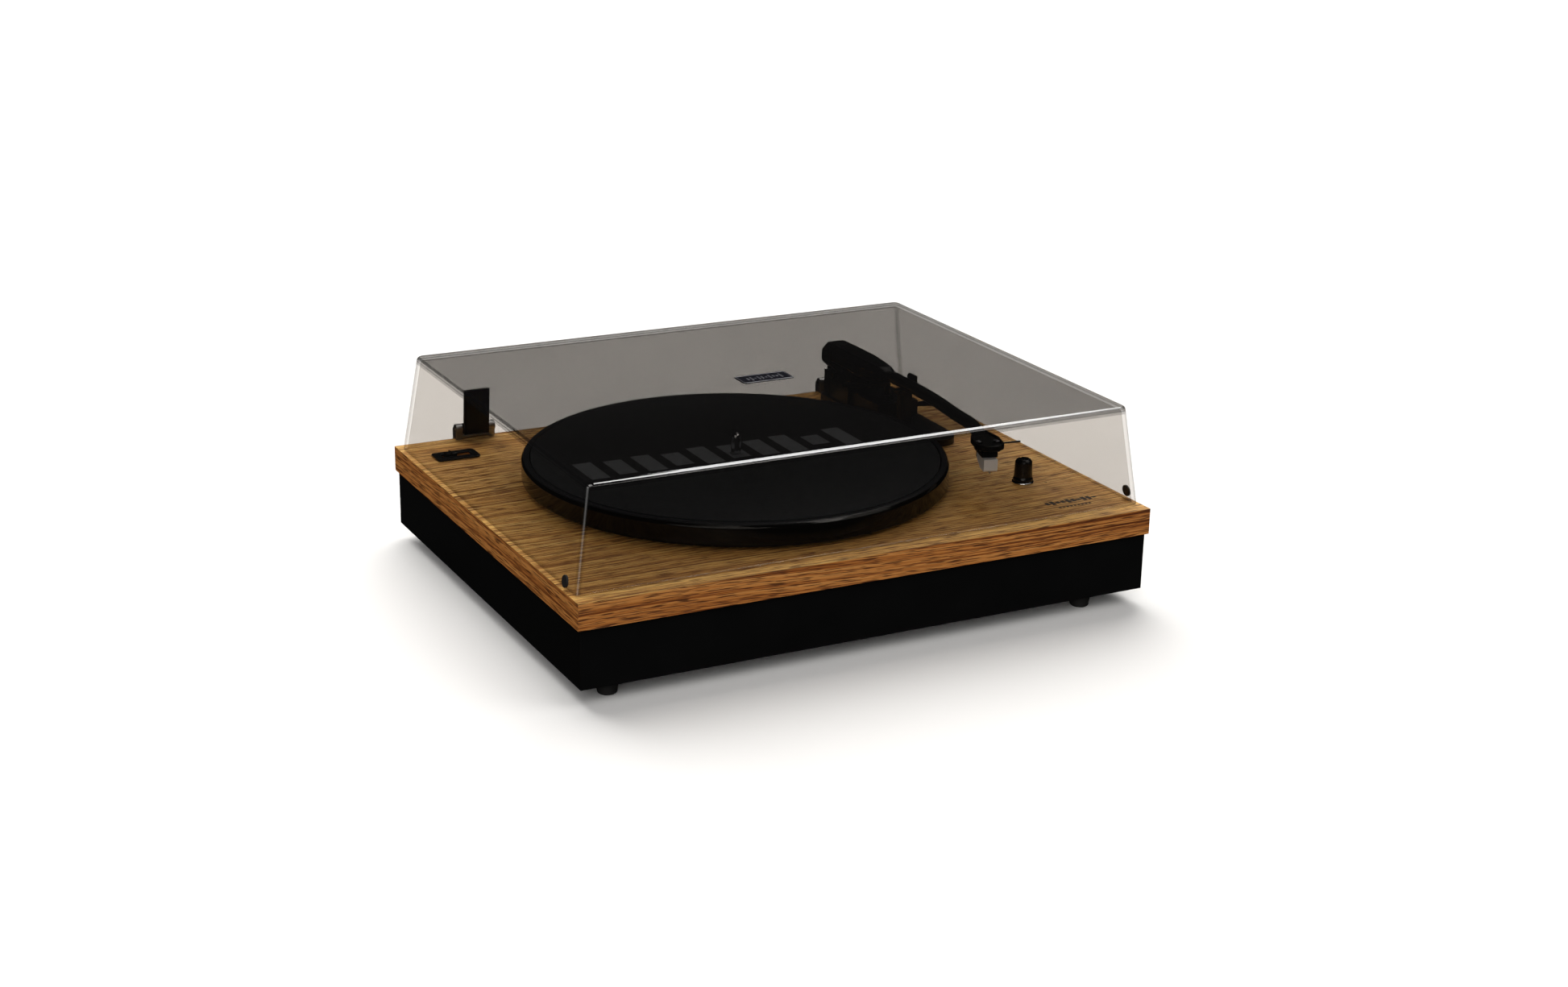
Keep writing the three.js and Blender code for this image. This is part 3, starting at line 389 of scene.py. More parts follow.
oak, shader, place = new_finish("oak vinyl", Specular_IOR_Level=0.35)
sheet = place.node("ShaderNodeUVMap", {"uv_map": "grain"}, {})
u, v, _ = sheet.axes()
sway = sheet.noise((3.0, 14.0, 1.0), 2.0) - 0.5
arch = sheet.noise((1.3, 5.0, 1.0), 1.0) - 0.5
drift = v + 0.006 * sway + 0.05 * arch
bent = place.node("ShaderNodeCombineXYZ", {}, {0: u, 1: drift, 2: 0.0})
rings = bent.noise((2.4, 480.0, 1.0), 2.5, 0.55)
fine = bent.noise((9.0, 1100.0, 1.0), 2.0, 0.6)
pores = bent.noise((60.0, 1250.0, 1.0), 1.5)
tone = sheet.noise((1.6, 9.0, 1.0), 2.0)
vein = 0.62 * rings + 0.3 * fine + 0.16 * tone
colour = vein.node("ShaderNodeValToRGB", {"stops": (
    (0.40, (0.13, 0.032, 0.006)),
    (0.47, (0.42, 0.130, 0.027)),
    (0.54, (0.72, 0.275, 0.065)),
    (0.66, (0.86, 0.390, 0.11)),
)}, {0: vein})
pits = pores.ease(0.5, 0.62)
_, _, height = place.axes()
top_sheet = height.ease(high.z - 0.5 * mm, high.z - 0.2 * mm)
# The top face is made paler and yellower than the front and the ends.
yellower_top_colour = colour.node("ShaderNodeMix", {"data_type": "RGBA", "blend_type": "MULTIPLY"}, {
    0: top_sheet, 6: colour, 7: (0.95, 1.34, 1.5, 1),
}, 2)
set_values(shader, {
    "Base Color": (0.9 * pits).blend(yellower_top_colour, (0.1, 0.03, 0.007, 1)),
    "Roughness": 0.34 + 0.16 * fine + 0.12 * pits,
    "Normal": (vein - 0.6 * pits).relief(0.00012),
})
settle(slab, "deck", oak, "wood_slab", "top_slab")

# ---- Works inside the tray ----
# A turned brass bearing cup, a small motor hung on a plated bracket, and an amplifier board on moulded
# legs. They sit under the deck and the platter.

plated, shader, place = new_finish("zinc plate", Metallic=1.0)
bloom = place.noise((160.0, 160.0, 160.0), 4.0)
brushed = place.noise((90.0, 90.0, 5200.0), 2.0)
set_values(shader, {
    "Base Color": bloom.blend((0.36, 0.37, 0.39, 1), (0.58, 0.58, 0.57, 1)),
    "Roughness": 0.26 + 0.16 * bloom + 0.06 * brushed,
    "Normal": brushed.relief(0.00001),
})
dress(plated, "motor_can", "motor_bracket", "arm_nut", "arm_shaft", "potentiometer")
dress(plated, "knob_shaft", "motor_shaft")

turned_brass, shader, place = new_finish("turned brass", Metallic=1.0)
rings_cut = place.noise((12.0, 12.0, 6000.0), 2.0)
set_values(shader, {
    "Base Color": rings_cut.blend((0.55, 0.36, 0.11, 1), (0.74, 0.54, 0.22, 1)),
    "Roughness": 0.24 + 0.14 * rings_cut,
    "Normal": rings_cut.relief(0.00001),
})
dress(turned_brass, "bearing_housing", "motor_pulley")

belt_black, shader, place = new_finish("belt rubber")
chalk = place.noise((500.0, 500.0, 2500.0), 3.0)
set_values(shader, {
    "Base Color": chalk.blend((0.008, 0.008, 0.008, 1), (0.03, 0.03, 0.03, 1)),
    "Roughness": 0.55 + 0.2 * chalk,
})
dress(belt_black, "drive_belt")

board_green, shader, place = new_finish("solder mask", Coat_Weight=0.4)
x, _, _ = place.axes()
rows_x = (x * 380).maths("FRACT").ease(0.42, 0.58)
tracks = place.noise((210.0, 60.0, 1.0), 1.0).ease(0.5, 0.54) * rows_x
set_values(shader, {
    "Base Color": tracks.blend((0.005, 0.05, 0.018, 1), (0.012, 0.12, 0.04, 1)),
    "Roughness": 0.35 - 0.1 * tracks,
    "Normal": tracks.relief(0.00005),
})
dress(board_green, "amplifier_board")

bare_alloy, shader, place = new_finish("bare aluminium", Metallic=1.0)
drawn = place.noise((60.0, 4000.0, 4000.0), 3.0)
set_values(shader, {
    "Base Color": drawn.blend((0.5, 0.51, 0.52, 1), (0.7, 0.7, 0.71, 1)),
    "Roughness": 0.28 + 0.15 * drawn,
    "Normal": drawn.relief(0.00001),
})
dress(bare_alloy, "board_heatsink")
dress(moulded_black("sleeve black", 0.015, 0.3), "filter_capacitor")

# ---- Sockets on the back ----
# A black panel let into the tray's back carries a barrel inlet, a small jack, two pairs of phono
# sockets, whose moulded blocks end in plated shells, and a rocker switch in a snap-in frame.

panel_black = moulded_black("panel black", 0.01, 0.4)
for node, width in (("rear_panel", 0.3), ("dc_inlet", 0.3), ("aux_socket", 0.3), ("rocker_frame", 0.5)):
    settle(finished(node, width * mm, 2, 40), "deck", panel_black, "satin_black_plastic", node)

socket_metal, shader, place = new_finish("plated sockets")
_, y, _ = place.axes()
shell_start = 160.5 * mm
shell_part = y.ease(shell_start, shell_start + 0.7 * mm)
scratch = place.noise((700.0, 3000.0, 700.0), 2.0)
set_values(shader, {
    "Base Color": shell_part.blend((0.02, 0.02, 0.022, 1), (0.72, 0.71, 0.68, 1)),
    "Metallic": shell_part,
    "Roughness": 0.5 - 0.3 * shell_part + 0.1 * scratch,
})
for node in ("line_out_sockets", "speaker_sockets"):
    settle(finished(node, 0.3 * mm, 2, 40), "deck", socket_metal, "socket_block", node)

gloss_black, shader, place = new_finish("gloss black", Specular_IOR_Level=0.3)
smear = place.noise((45.0, 45.0, 45.0), 4.0)
set_values(shader, {
    "Base Color": smear.blend((0.002, 0.002, 0.0025, 1), (0.005, 0.005, 0.0055, 1)),
    "Roughness": 0.14 + 0.1 * smear,
})
rocker = finished("power_rocker", 0.4 * mm)
settle(rocker, "power_rocker", gloss_black, "gloss_black_plastic", "power_rocker")

# ---- Platter, mat and spindle ----
# The platter is cast and turned, then painted gloss black, with a flat bare rim round the mat. The mat
# is needled felt with a printed row of grey level bars. The spindle is polished steel.

low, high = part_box("platter")
hub = (low + high) / 2
rim = (high.x - low.x) / 2
seat = high.z - 1.5 * mm
under = seat - 4.2 * mm
mat_low, mat_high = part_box("slip_mat")
mat_edge = (mat_high.x - mat_low.x) / 2
spin_low, spin_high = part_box("spindle")
bore, boss, boss_foot = 3.9 * mm, 12 * mm, 75 * mm
belt_ring_inner, belt_ring_outer, belt_ring_foot = 77 * mm, 80.5 * mm, 74.4 * mm
profile = [
    (bore, boss_foot),
    (boss, boss_foot),
    (boss, under),
    (belt_ring_inner, under),
    (belt_ring_inner, belt_ring_foot),
    (belt_ring_outer, belt_ring_foot),
    (belt_ring_outer, under),
    (rim - 5 * mm, under),
    (rim - 5 * mm, low.z),
    (rim - 1.2 * mm, low.z),
    (rim, low.z + 1.2 * mm),
    (rim, high.z - 2.4 * mm),
    (rim - 1.8 * mm, high.z),
    (mat_edge + 0.6 * mm, high.z),
    (mat_edge + 0.6 * mm, seat),
    (bore, seat),
]
platter = turned("platter_turned", rounded(profile, 0.7 * mm, 4, True), hub, 256, True)
shine = {"Specular_IOR_Level": 0.15, "Coat_Weight": 0.08, "Coat_Roughness": 0.04}
paint, shader, place = new_finish("platter paint", **shine)
x, y, z = place.axes()
out = ((x - hub.x) * (x - hub.x) + (y - hub.y) * (y - hub.y)).maths("SQRT")
on_top = z.ease(high.z - 1.2 * mm, high.z - 0.2 * mm)
outward = out.node("ShaderNodeCombineXYZ", {}, {0: out, 1: 0.0, 2: 0.0})
lathe_marks = outward.noise((9000.0, 1.0, 1.0), 2.0)
film = place.noise((30.0, 30.0, 120.0), 3.0)
set_values(shader, {
    "Base Color": on_top.blend((0.002, 0.002, 0.0022, 1), (0.012, 0.013, 0.015, 1)),
    "Roughness": 0.08 + 0.05 * film + 0.22 * on_top,
    "Normal": (lathe_marks * on_top).relief(0.00002),
})
settle(platter, "platter", paint, "black_platter", "platter")

inner = 4.2 * mm
t = np.linspace(0, 1, 40)[:, None]
radius = np.vstack([inner + 0 * t[:1], inner + (mat_edge - 0.4 * mm - inner) * t, mat_edge + 0 * t[:1]])
angle = np.linspace(0, 2 * pi, 192, endpoint=False)[None, :]
fluff = 0.05 * mm * np.sin(9 * angle + 40 * radius / mat_edge) * np.cos(5 * angle)
upper = mat_high.z - 0.08 * mm + fluff - np.where(radius > mat_edge - 0.2 * mm, 0.5 * mm, 0)
round_x, round_y = hub.x + radius * np.cos(angle), hub.y + radius * np.sin(angle)
ring = np.stack([round_x, round_y, upper], -1)
bottom = np.stack([round_x, round_y, mat_low.z + 0 * upper], -1)
grid = np.concatenate([bottom, ring[::-1]])
mat = surface("slip_mat_felt", grid, wrap=(True, True), caps=(False, False), crease=60)
nap_shine = {"Sheen_Weight": 0.04, "Sheen_Roughness": 0.5, "Specular_IOR_Level": 0.1}
felt, shader, place = new_finish("printed felt", **nap_shine)
x, y, _ = place.axes()
fibre = place.noise((1500.0, 1500.0, 1500.0), 4.0, 0.7)
tuft = place.noise((420.0, 420.0, 420.0), 2.0)
# The print: ten bars side by side, each with a height of its own.
first_bar, bar_pitch, bar_middle = -118 * mm, 21.5 * mm, 4 * mm
step = (x - hub.x - first_bar) * (1 / bar_pitch)
count = step.maths("FLOOR")
swing = (count * 1.9 + 0.6).maths("SINE")
tall = 11.5 * mm + 7.5 * mm * swing.maths("ABSOLUTE") + 2 * mm * (count * 4.3).maths("COSINE")
side = (step - count - 0.5).maths("ABSOLUTE")
rise = (y - hub.y - bar_middle).maths("ABSOLUTE")
bar = (1 - side.ease(0.3, 0.33)) * (1 - (rise - tall).ease(-0.3 * mm, 0.3 * mm))
span = (1 - count.ease(9.4, 9.6)) * count.ease(-0.6, -0.4)
worn = fibre.ease(0.3, 0.62)
motif = bar * span * (0.7 + 0.3 * worn)
nap = (0.55 * fibre + 0.45 * tuft).blend((0.0012, 0.0015, 0.0022, 1), (0.009, 0.0115, 0.015, 1))
set_values(shader, {
    "Base Color": motif.blend(nap, (0.2, 0.215, 0.235, 1)),
    "Roughness": 0.85 + 0.1 * fibre,
    "Normal": (0.6 * fibre + 0.4 * tuft).relief(0.0006),
})
settle(mat, "platter", felt, "black_felt", "slip_mat")

polished, shader, place = new_finish("polished steel", Metallic=1.0)
wipe = place.noise((200.0, 200.0, 3500.0), 2.0)
set_values(shader, {
    "Base Color": wipe.blend((0.66, 0.67, 0.69, 1), (0.8, 0.8, 0.8, 1)),
    "Roughness": 0.09 + 0.09 * wipe,
})
pin_radius, flange = 3.55 * mm, 9 * mm
flange_foot, flange_top = 71.7 * mm, 74.7 * mm
turn = np.linspace(0, pi / 2 - 0.12, 8)
dome = np.stack([pin_radius * np.cos(turn), spin_high.z - pin_radius * (1 - np.sin(turn))], 1)
collar = rounded([
    (0.4 * mm, spin_low.z),
    (pin_radius, spin_low.z),
    (pin_radius, flange_foot),
    (flange, flange_foot),
    (flange, flange_top),
    (pin_radius, flange_top),
    dome[0],
], 0.25 * mm)
spindle = turned("spindle_turned", np.vstack([collar, dome[1:]]), hub, 64)
settle(spindle, "platter", polished, "chrome", "spindle")

# ---- Tonearm base, rest and cueing ----
# One satin black moulding carries the arm's pivot post, the guide of the lift bar and the head of the
# cue lever. The arm rest is a second moulding, clipped into its front end.

arm_black = moulded_black("arm black", 0.005, 0.3, 0.7)
for node, body, width in (
    ("arm_base", "deck", 0.9),
    ("arm_rest", "deck", 0.6),
    ("lift_bar", "lift_bar", 0.4),
    ("arm_yoke", "arm_swivel", 0.5),
):
    settle(finished(node, width * mm, 3, 32), body, arm_black, "satin_black_plastic", node)


def along_path(path, steps):
    """A smooth curve through the path's points, each stretch a cubic whose slope at a point is the mean of
    the slopes on its two sides."""
    path = np.asarray(path, float)
    length = np.r_[0, np.cumsum(np.linalg.norm(np.diff(path, axis=0), axis=1))]
    slope = np.gradient(path, length, axis=0)
    at = np.linspace(0, length[-1], steps)
    k = np.clip(np.searchsorted(length, at, "right") - 1, 0, len(path) - 2)
    span_length = (length[k + 1] - length[k])[:, None]
    t = (at - length[k])[:, None] / span_length
    start = (2 * t**3 - 3 * t**2 + 1) * path[k] + (t**3 - 2 * t**2 + t) * span_length * slope[k]
    return start + (3 * t**2 - 2 * t**3) * path[k + 1] + (t**3 - t**2) * span_length * slope[k + 1]


def piped(name, path, radius, sides=40, squash=1.0):
    """A round bar along a path: p = path + r (cos a * side + sin a * up), with a radius for each point."""
    path = np.asarray(path, float)
    ahead = np.gradient(path, axis=0)
    ahead /= np.linalg.norm(ahead, axis=1)[:, None]
    across = np.cross((0, 0, 1.0), ahead)
    across /= np.linalg.norm(across, axis=1)[:, None]
    above = np.cross(ahead, across)
    angle = np.linspace(0, 2 * pi, sides, endpoint=False)[None, :, None]
    radius = np.broadcast_to(np.asarray(radius, float), len(path))[:, None, None]
    ring = np.cos(angle) * across[:, None] + squash * np.sin(angle) * above[:, None]
    return surface(name, path[:, None] + radius * ring)


low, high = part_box("cue_lever")
axle = Vector((low.x, 0.07, 0.081))
bend = Vector((0.1669, axle.y, axle.z))
reach_out = Vector((0.811, -0.568, 0.139))
before_bend, grip_start = bend - Vector((1 * mm, 0, 0)), bend + 4 * mm * reach_out
route = along_path([axle, before_bend, grip_start, bend + 14.6 * mm * reach_out], 48)
share = (route[:, 0] - low.x) / (high.x - low.x)
thick = np.interp(share, [0, 0.47, 0.6, 0.93, 0.98, 1], [2.0, 2.0, 1.9, 2.5, 2.2, 1.2]) * mm
lever = piped("cue_lever_moulded", route, thick)
settle(lever, "cue_lever", arm_black, "satin_black_plastic", "cue_lever")

# ---- Tonearm ----
# The arm turns on a yoke. Its housing, counterweight and curved tube are satin black, the housing and
# the eight-sided weight with softly rounded edges. The lift pin is polished steel.

housing = finished("arm_housing", 0.8 * mm, 3, 12)
settle(housing, "tonearm", arm_black, "satin_black_plastic", "arm_housing")
settle(finished("counterweight", 0.7 * mm, 3, 12), "tonearm", arm_black, "black_weight", "counterweight")
dress(polished, "gimbal_pin")

shell_turn = radians(-17)
shell_spot = np.array([0.1186, -0.1087, 0.1097])
aim = np.array([-sin(shell_turn), cos(shell_turn), 0])
tail = shell_spot + 24.3 * mm * aim
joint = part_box("arm_tube")[1].y
axis_x, axis_z = 139 * mm, 109.3 * mm
route = along_path([
    (axis_x, joint, axis_z),
    (axis_x, 0.030, axis_z),
    (axis_x - 2 * mm, -0.008, axis_z),
    (axis_x - 6.2 * mm, -0.044, axis_z - 0.2 * mm),
    (*(tail + 16 * mm * aim)[:2], axis_z - 0.6 * mm),
    (*tail[:2], axis_z - 0.8 * mm),
], 120)
tube = piped("arm_tube_bent", route, 4.5 * mm, 48)
settle(tube, "tonearm", arm_black, "black_tube", "arm_tube")

# ---- Headshell and cartridge ----
# A ribbed plastic headshell with a raised rim and a finger lift. Two slotted screws hold the cartridge,
# a black body with an off-white stylus holder clipped to its front.


def shell_place(points):
    """From headshell lengths in millimetres, origin between its screws and -Y forwards, to the row."""
    points = np.asarray(points, float) * mm
    x = points[..., 0] * cos(shell_turn) - points[..., 1] * sin(shell_turn)
    y = points[..., 0] * sin(shell_turn) + points[..., 1] * cos(shell_turn)
    return np.stack([x, y, points[..., 2]], -1) + shell_spot


def raised(outline, z, edge, steps=3):
    """An outline carried up from z[0] to z[1]; its ends draw in by a quarter circle of radius edge."""
    outline = np.asarray(outline, float)
    run = np.roll(outline, -1, 0) - np.roll(outline, 1, 0)
    out = np.stack([run[:, 1], -run[:, 0]], 1) / np.linalg.norm(run, axis=1)[:, None]
    turn = np.linspace(0, pi / 2, steps + 1)
    inset = np.r_[1 - np.sin(turn), 1 - np.cos(turn)] * edge
    height = np.r_[z[0] + edge * (1 - np.cos(turn)), z[1] - edge * (1 - np.sin(turn))]
    flat = outline[None] - inset[:, None, None] * out[None]
    return np.concatenate([flat, np.broadcast_to(height[:, None, None], (*flat.shape[:2], 1))], -1)


def box_outline(x, y, corner, steps=4):
    """A rectangle with round corners, anticlockwise from above."""
    square = [(x[0], y[0]), (x[1], y[0]), (x[1], y[1]), (x[0], y[1])]
    return rounded(square, corner, steps, True)


turn = np.linspace(pi, 2 * pi, 25)
nose = np.stack([10 * np.cos(turn), -5 + 9 * np.sin(turn)], 1)
outline = rounded(np.vstack([nose, [(10, 8), (5, 24), (-5, 24), (-10, 8)]]), 1.5, 3, True)
inner_rim = outline * np.array([0.86, 0.9]) + np.array([0, 0.6])
floor_level, rim_top = -0.5, 0.95
shell_rows = raised(outline, (-3, rim_top), 0.5)
level_row = np.ones(len(outline))
dish = [np.c_[inner_rim, (rim_top - 0.15) * level_row], np.c_[inner_rim * 0.985, floor_level * level_row]]
shell_grid = np.concatenate([shell_rows, np.stack(dish)])
headshell = surface("headshell_moulded", shell_place(shell_grid), crease=40)
settle(headshell, "tonearm", arm_black, "satin_black_plastic", "headshell")

t = np.linspace(0, 1, 24)[:, None]
lift_path = np.hstack([10.3 + 12.6 * t, -0.1 + 0 * t, -1.3 + 0.7 * t])
spread = np.interp(t[:, 0], [0, 0.1, 0.75, 0.93, 1], [1.5, 1.1, 1.0, 1.5, 0.8])
across = np.linspace(0, 2 * pi, 24, endpoint=False)[None, :]
grid = np.stack([
    lift_path[:, :1] + 0 * across,
    lift_path[:, 1:2] + spread[:, None] * np.cos(across),
    lift_path[:, 2:] + 0.55 * np.sin(across),
], -1)
finger_lift = surface("finger_lift_moulded", shell_place(grid))
settle(finger_lift, "tonearm", arm_black, "satin_black_plastic", "finger_lift")

dull_steel, shader, place = new_finish("blackened screws", Metallic=1.0)
worn = place.noise((900.0, 900.0, 900.0), 2.0)
set_values(shader, {
    "Base Color": worn.blend((0.05, 0.05, 0.055, 1), (0.16, 0.16, 0.17, 1)),
    "Roughness": 0.3 + 0.12 * worn,
})
turn = np.linspace(0, 2 * pi, 48, endpoint=False)[None, :]
# radius and height: the thread's end, the thread, then the head and its crown
profile = [(0.3, -2.6), (1.3, -2.6), (1.3, -0.1), (2.3, -0.1), (2.3, 0.6), (1.6, 0.95), (0.2, 1.0)]
profile = rounded(profile, 0.15)
radius, height = profile[:, :1], profile[:, 1:]
half_spacing = 6.35
for node, x in (("headshell_screw_left", -half_spacing), ("headshell_screw_right", half_spacing)):
    slot_depth = np.where((abs(radius * np.sin(turn)) < 0.35) & (height > 0.4), 0.55, 0)
    grid = np.stack([x + radius * np.cos(turn), radius * np.sin(turn), height - slot_depth], -1)
    settle(surface(node + "_turned", shell_place(grid)), "tonearm", dull_steel, "chrome", node)

body = finished("cartridge_body", 0.4 * mm, 3, 40)
settle(body, "tonearm", arm_black, "satin_black_plastic", "cartridge_body")

ivory, shader, place = new_finish("off-white plastic", Subsurface_Weight=0.08, Subsurface_Scale=0.002)
flow = place.noise((260.0, 260.0, 260.0), 3.0)
set_values(shader, {
    "Base Color": flow.blend((0.76, 0.75, 0.73, 1), (0.85, 0.84, 0.82, 1)),
    "Roughness": 0.34 + 0.1 * flow,
    "Normal": flow.relief(0.00002),
})
settle(finished("stylus_holder", 0.5 * mm, 3, 25), "tonearm", ivory, "off_white_plastic", "stylus_holder")
dress(bare_alloy, "stylus")

# ---- Volume knob ----
# A gloss black knob on a plated washer, its sides faintly fluted and a notch cut across its top towards
# the setting. Small printed marks round it show the quiet and the loud end.

low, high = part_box("volume_knob")
middle = (low + high) / 2
skirt = (high.x - low.x) / 2
profile = rounded([
    (0.2 * mm, low.z),
    (skirt, low.z),
    (skirt, low.z + 1.7 * mm),
    (skirt - 0.6 * mm, low.z + 2.9 * mm),
    (skirt - 1.1 * mm, high.z - 2.0 * mm),
    (skirt - 2.4 * mm, high.z - 0.2 * mm),
    (skirt - 3.6 * mm, high.z),
    (0.2 * mm, high.z),
], 0.5 * mm)
cut_lines = np.linspace(0, 1, 5)[1:-1, None]
profile = np.vstack([profile[:-1], profile[-2] + (profile[-1] - profile[-2]) * cut_lines, profile[-1:]])
angle = np.linspace(0, 2 * pi, 160, endpoint=False)[None, :]
radius, height = profile[:, :1], profile[:, 1:]
above_skirt = np.clip((height - low.z - 2.9 * mm) / (1 * mm), 0, 1)
on_side = above_skirt * np.clip((high.z - height) / (3 * mm), 0, 1)
flutes, flute_depth, notch_depth = 18, 0.16 * mm, 1.3 * mm
fluted = radius - flute_depth * on_side * (0.5 + 0.5 * np.cos(flutes * angle))
x, y = fluted * np.cos(angle), fluted * np.sin(angle)
notch = np.clip((0.9 * mm - abs(x)) / (0.25 * mm), 0, 1) * np.clip((y + 0.3 * mm) / (0.5 * mm), 0, 1)
near_top = np.clip((height - high.z + 2.2 * mm) / (0.5 * mm), 0, 1)
sunk = height - notch_depth * notch * near_top
knob = surface("volume_knob_turned", np.stack([middle.x + x, middle.y + y, sunk], -1))
settle(knob, "volume", gloss_black, "gloss_black_plastic", "volume_knob")

low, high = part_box("knob_ring")
washer = rounded([
    (4.6 * mm, low.z),
    (7.9 * mm, low.z),
    (7.6 * mm, high.z),
    (4.6 * mm, high.z),
], 0.15 * mm, 3, True)
knob_ring = turned("knob_ring_turned", washer, (low + high) / 2, 96, True)
settle(knob_ring, "deck", polished, "chrome", "knob_ring")

ink, shader, place = new_finish("printing ink")
thin = place.noise((1800.0, 1800.0, 10.0), 2.0)
set_values(shader, {
    "Base Color": thin.blend((0.008, 0.007, 0.006, 1), (0.03, 0.022, 0.014, 1)),
    "Roughness": 0.5 + 0.2 * thin,
})
deck_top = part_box("top_slab")[1].z
# place in metres, then width and depth in millimetres: a minus, a plus, and two rows of generic bars
strokes = [(0.1615, -0.071, 2.4, 0.5), (0.176, -0.097, 2.4, 0.5), (0.176, -0.097, 0.5, 2.4)]
strokes += [(0.151 + 0.0042 * k, -0.137, 3.0, 5.0 + 2.2 * sin(1.9 * k)) for k in range(10)]
strokes += [(0.155 + 0.003 * k, -0.1465, 2.1, 2.2) for k in range(9)]
unit_square = np.array([(-0.5, -0.5), (0.5, -0.5), (0.5, 0.5), (-0.5, 0.5)])
film = (deck_top + 0.02 * mm, deck_top + 0.06 * mm)
marks = []
for x, y, width, depth in strokes:
    outline = np.array([x, y]) + unit_square * (width * mm, depth * mm)
    marks.append(surface("volume_scale", raised(outline, film, 0.01 * mm, 1)))
with bpy.context.temp_override(active_object=marks[0], selected_editable_objects=marks):
    bpy.ops.object.join()
settle(marks[0], "deck", ink, "gloss_black_plastic")

# ---- Speed selector ----
# A small black slide switch in a moulded frame at the back left of the deck.

for node, body in (("speed_frame", "deck"), ("speed_slider", "speed_slider")):
    settle(finished(node, 0.4 * mm, 3, 40), body, arm_black, "satin_black_plastic", node)

# ---- Dust cover ----
# A lid of smoked acrylic moulded in one piece, its walls leaning in and its top plate tinted darker than
# its sides. A plain badge is stuck on top and a rubber bumper on each side.

low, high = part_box("dust_cover")
foot = np.array([(low.x, low.y), (high.x, high.y)])
lean_side, lean_end = 10.5 * mm, 6 * mm
wall, corner_radius, crown = 3 * mm, 5 * mm, 2.4 * mm


def cover_ring(z, inset):
    """The cover's outline at a height, drawn in by inset: a leaning rectangle with round corners."""
    share = (z - low.z) / (high.z - low.z)
    x = high.x - lean_side * share - inset
    y = (foot[0, 1] + lean_end * share + inset, foot[1, 1] - lean_end * share - inset)
    bend = max(corner_radius - inset, 1.4 * mm)
    turn = np.linspace(0, pi / 2, 9)
    right, front, back = x - bend, y[0] + bend, y[1] - bend
    centres = ((right, back), (-right, back), (-right, front), (right, front))
    arcs = [
        np.stack([cx + bend * np.cos(turn + k * pi / 2), cy + bend * np.sin(turn + k * pi / 2)], 1)
        for k, (cx, cy) in enumerate(centres)
    ]
    ring = np.vstack(arcs)[::-1]
    return np.c_[ring, np.full(len(ring), z)]


turn = np.linspace(0, pi / 2, 8)
outside = [(high.z - crown * (1 - np.cos(a)), crown * (1 - np.sin(a))) for a in turn]
ceiling, inside_crown = high.z - wall, 1.2 * mm
inside = [(ceiling - inside_crown * (1 - np.sin(a)), wall + inside_crown * (1 - np.cos(a))) for a in turn]
# height, inset, and the painted shade there: how much the edge is made opaque and dark, standing in for
# refraction's dark lines
levels = [
    (high.z, crown + 1.2 * mm, 0),
    (high.z, crown + 0.6 * mm, 0),
    *((z, inset, 0.35 + 0.65 * sin(2 * a)) for (z, inset), a in zip(outside, turn)),
    (ceiling + 0.3 * mm, 0, 0.9),
    (ceiling - 0.1 * mm, 0, 0.9),
    (ceiling - 0.5 * mm, 0, 0.6),
    (ceiling - 1.9 * mm, 0, 0.55),
    (ceiling - 2.5 * mm, 0, 0),
    (low.z + 1.1 * mm, 0, 0),
    (low.z + 0.6 * mm, 0, 0.2),
    (low.z, 0.6 * mm, 0.3),
    (low.z, wall - 0.6 * mm, 0.3),
    (low.z + 0.6 * mm, wall, 0.2),
    (low.z + 1.1 * mm, wall, 0),
    (ceiling - inside_crown - 0.5 * mm, wall, 0),
    *((z, inset, 0.2 + 0.5 * sin(2 * a)) for (z, inset), a in zip(inside, turn)),
    (ceiling, wall + inside_crown + 0.6 * mm, 0),
    (ceiling, wall + inside_crown + 1.2 * mm, 0),
]
heights, insets, painted_edge_shade = np.array(levels).T
rows, arc = len(levels), 9
bent_columns = np.tile(np.sin(np.linspace(0, pi, arc)), 4)
upright = np.ones(rows)
upright[[0, 1, -2, -1]] = 0
rings = np.stack([cover_ring(z, inset) for z, inset in zip(heights, insets)])
cover = surface("dust_cover_moulded", rings, crease=60)
outer_wall = (np.arange(rows) > 9) & (np.arange(rows) < 18)
upright *= np.where(outer_wall, 0.5, 0.3)
# The edge attribute is painted shade: it makes the fillets, the rims and the vertical corners more opaque,
# darker and glossier.
edge = np.maximum(painted_edge_shade[:, None], upright[:, None] * bent_columns[None, :])
# The centre column of each outer vertical corner gets a pale colour: a painted reflection of the bright
# floor.
glint = outer_wall[:, None] * np.where(bent_columns > 0.99, 1.0, 0.0)[None, :]
for name, amount in (("edge", edge), ("glint", glint)):
    values = cover.data.attributes.new(name, "FLOAT", "POINT")
    values.data.foreach_set("value", np.broadcast_to(amount, (rows, 4 * arc)).ravel())

shine = {"Specular_IOR_Level": 0.35, "Coat_Roughness": 0.02, "Coat_IOR": 2.0}
smoked, shader, place = new_finish("smoked acrylic", **shine)
_, _, z = place.axes()
plate_part = z.ease(ceiling - 0.6 * mm, ceiling - 0.1 * mm)
smear = place.noise((9.0, 9.0, 9.0), 3.0)
edge = place.node("ShaderNodeAttribute", {"attribute_name": "edge"}, {}, "Fac")
glint = place.node("ShaderNodeAttribute", {"attribute_name": "glint"}, {}, "Fac")
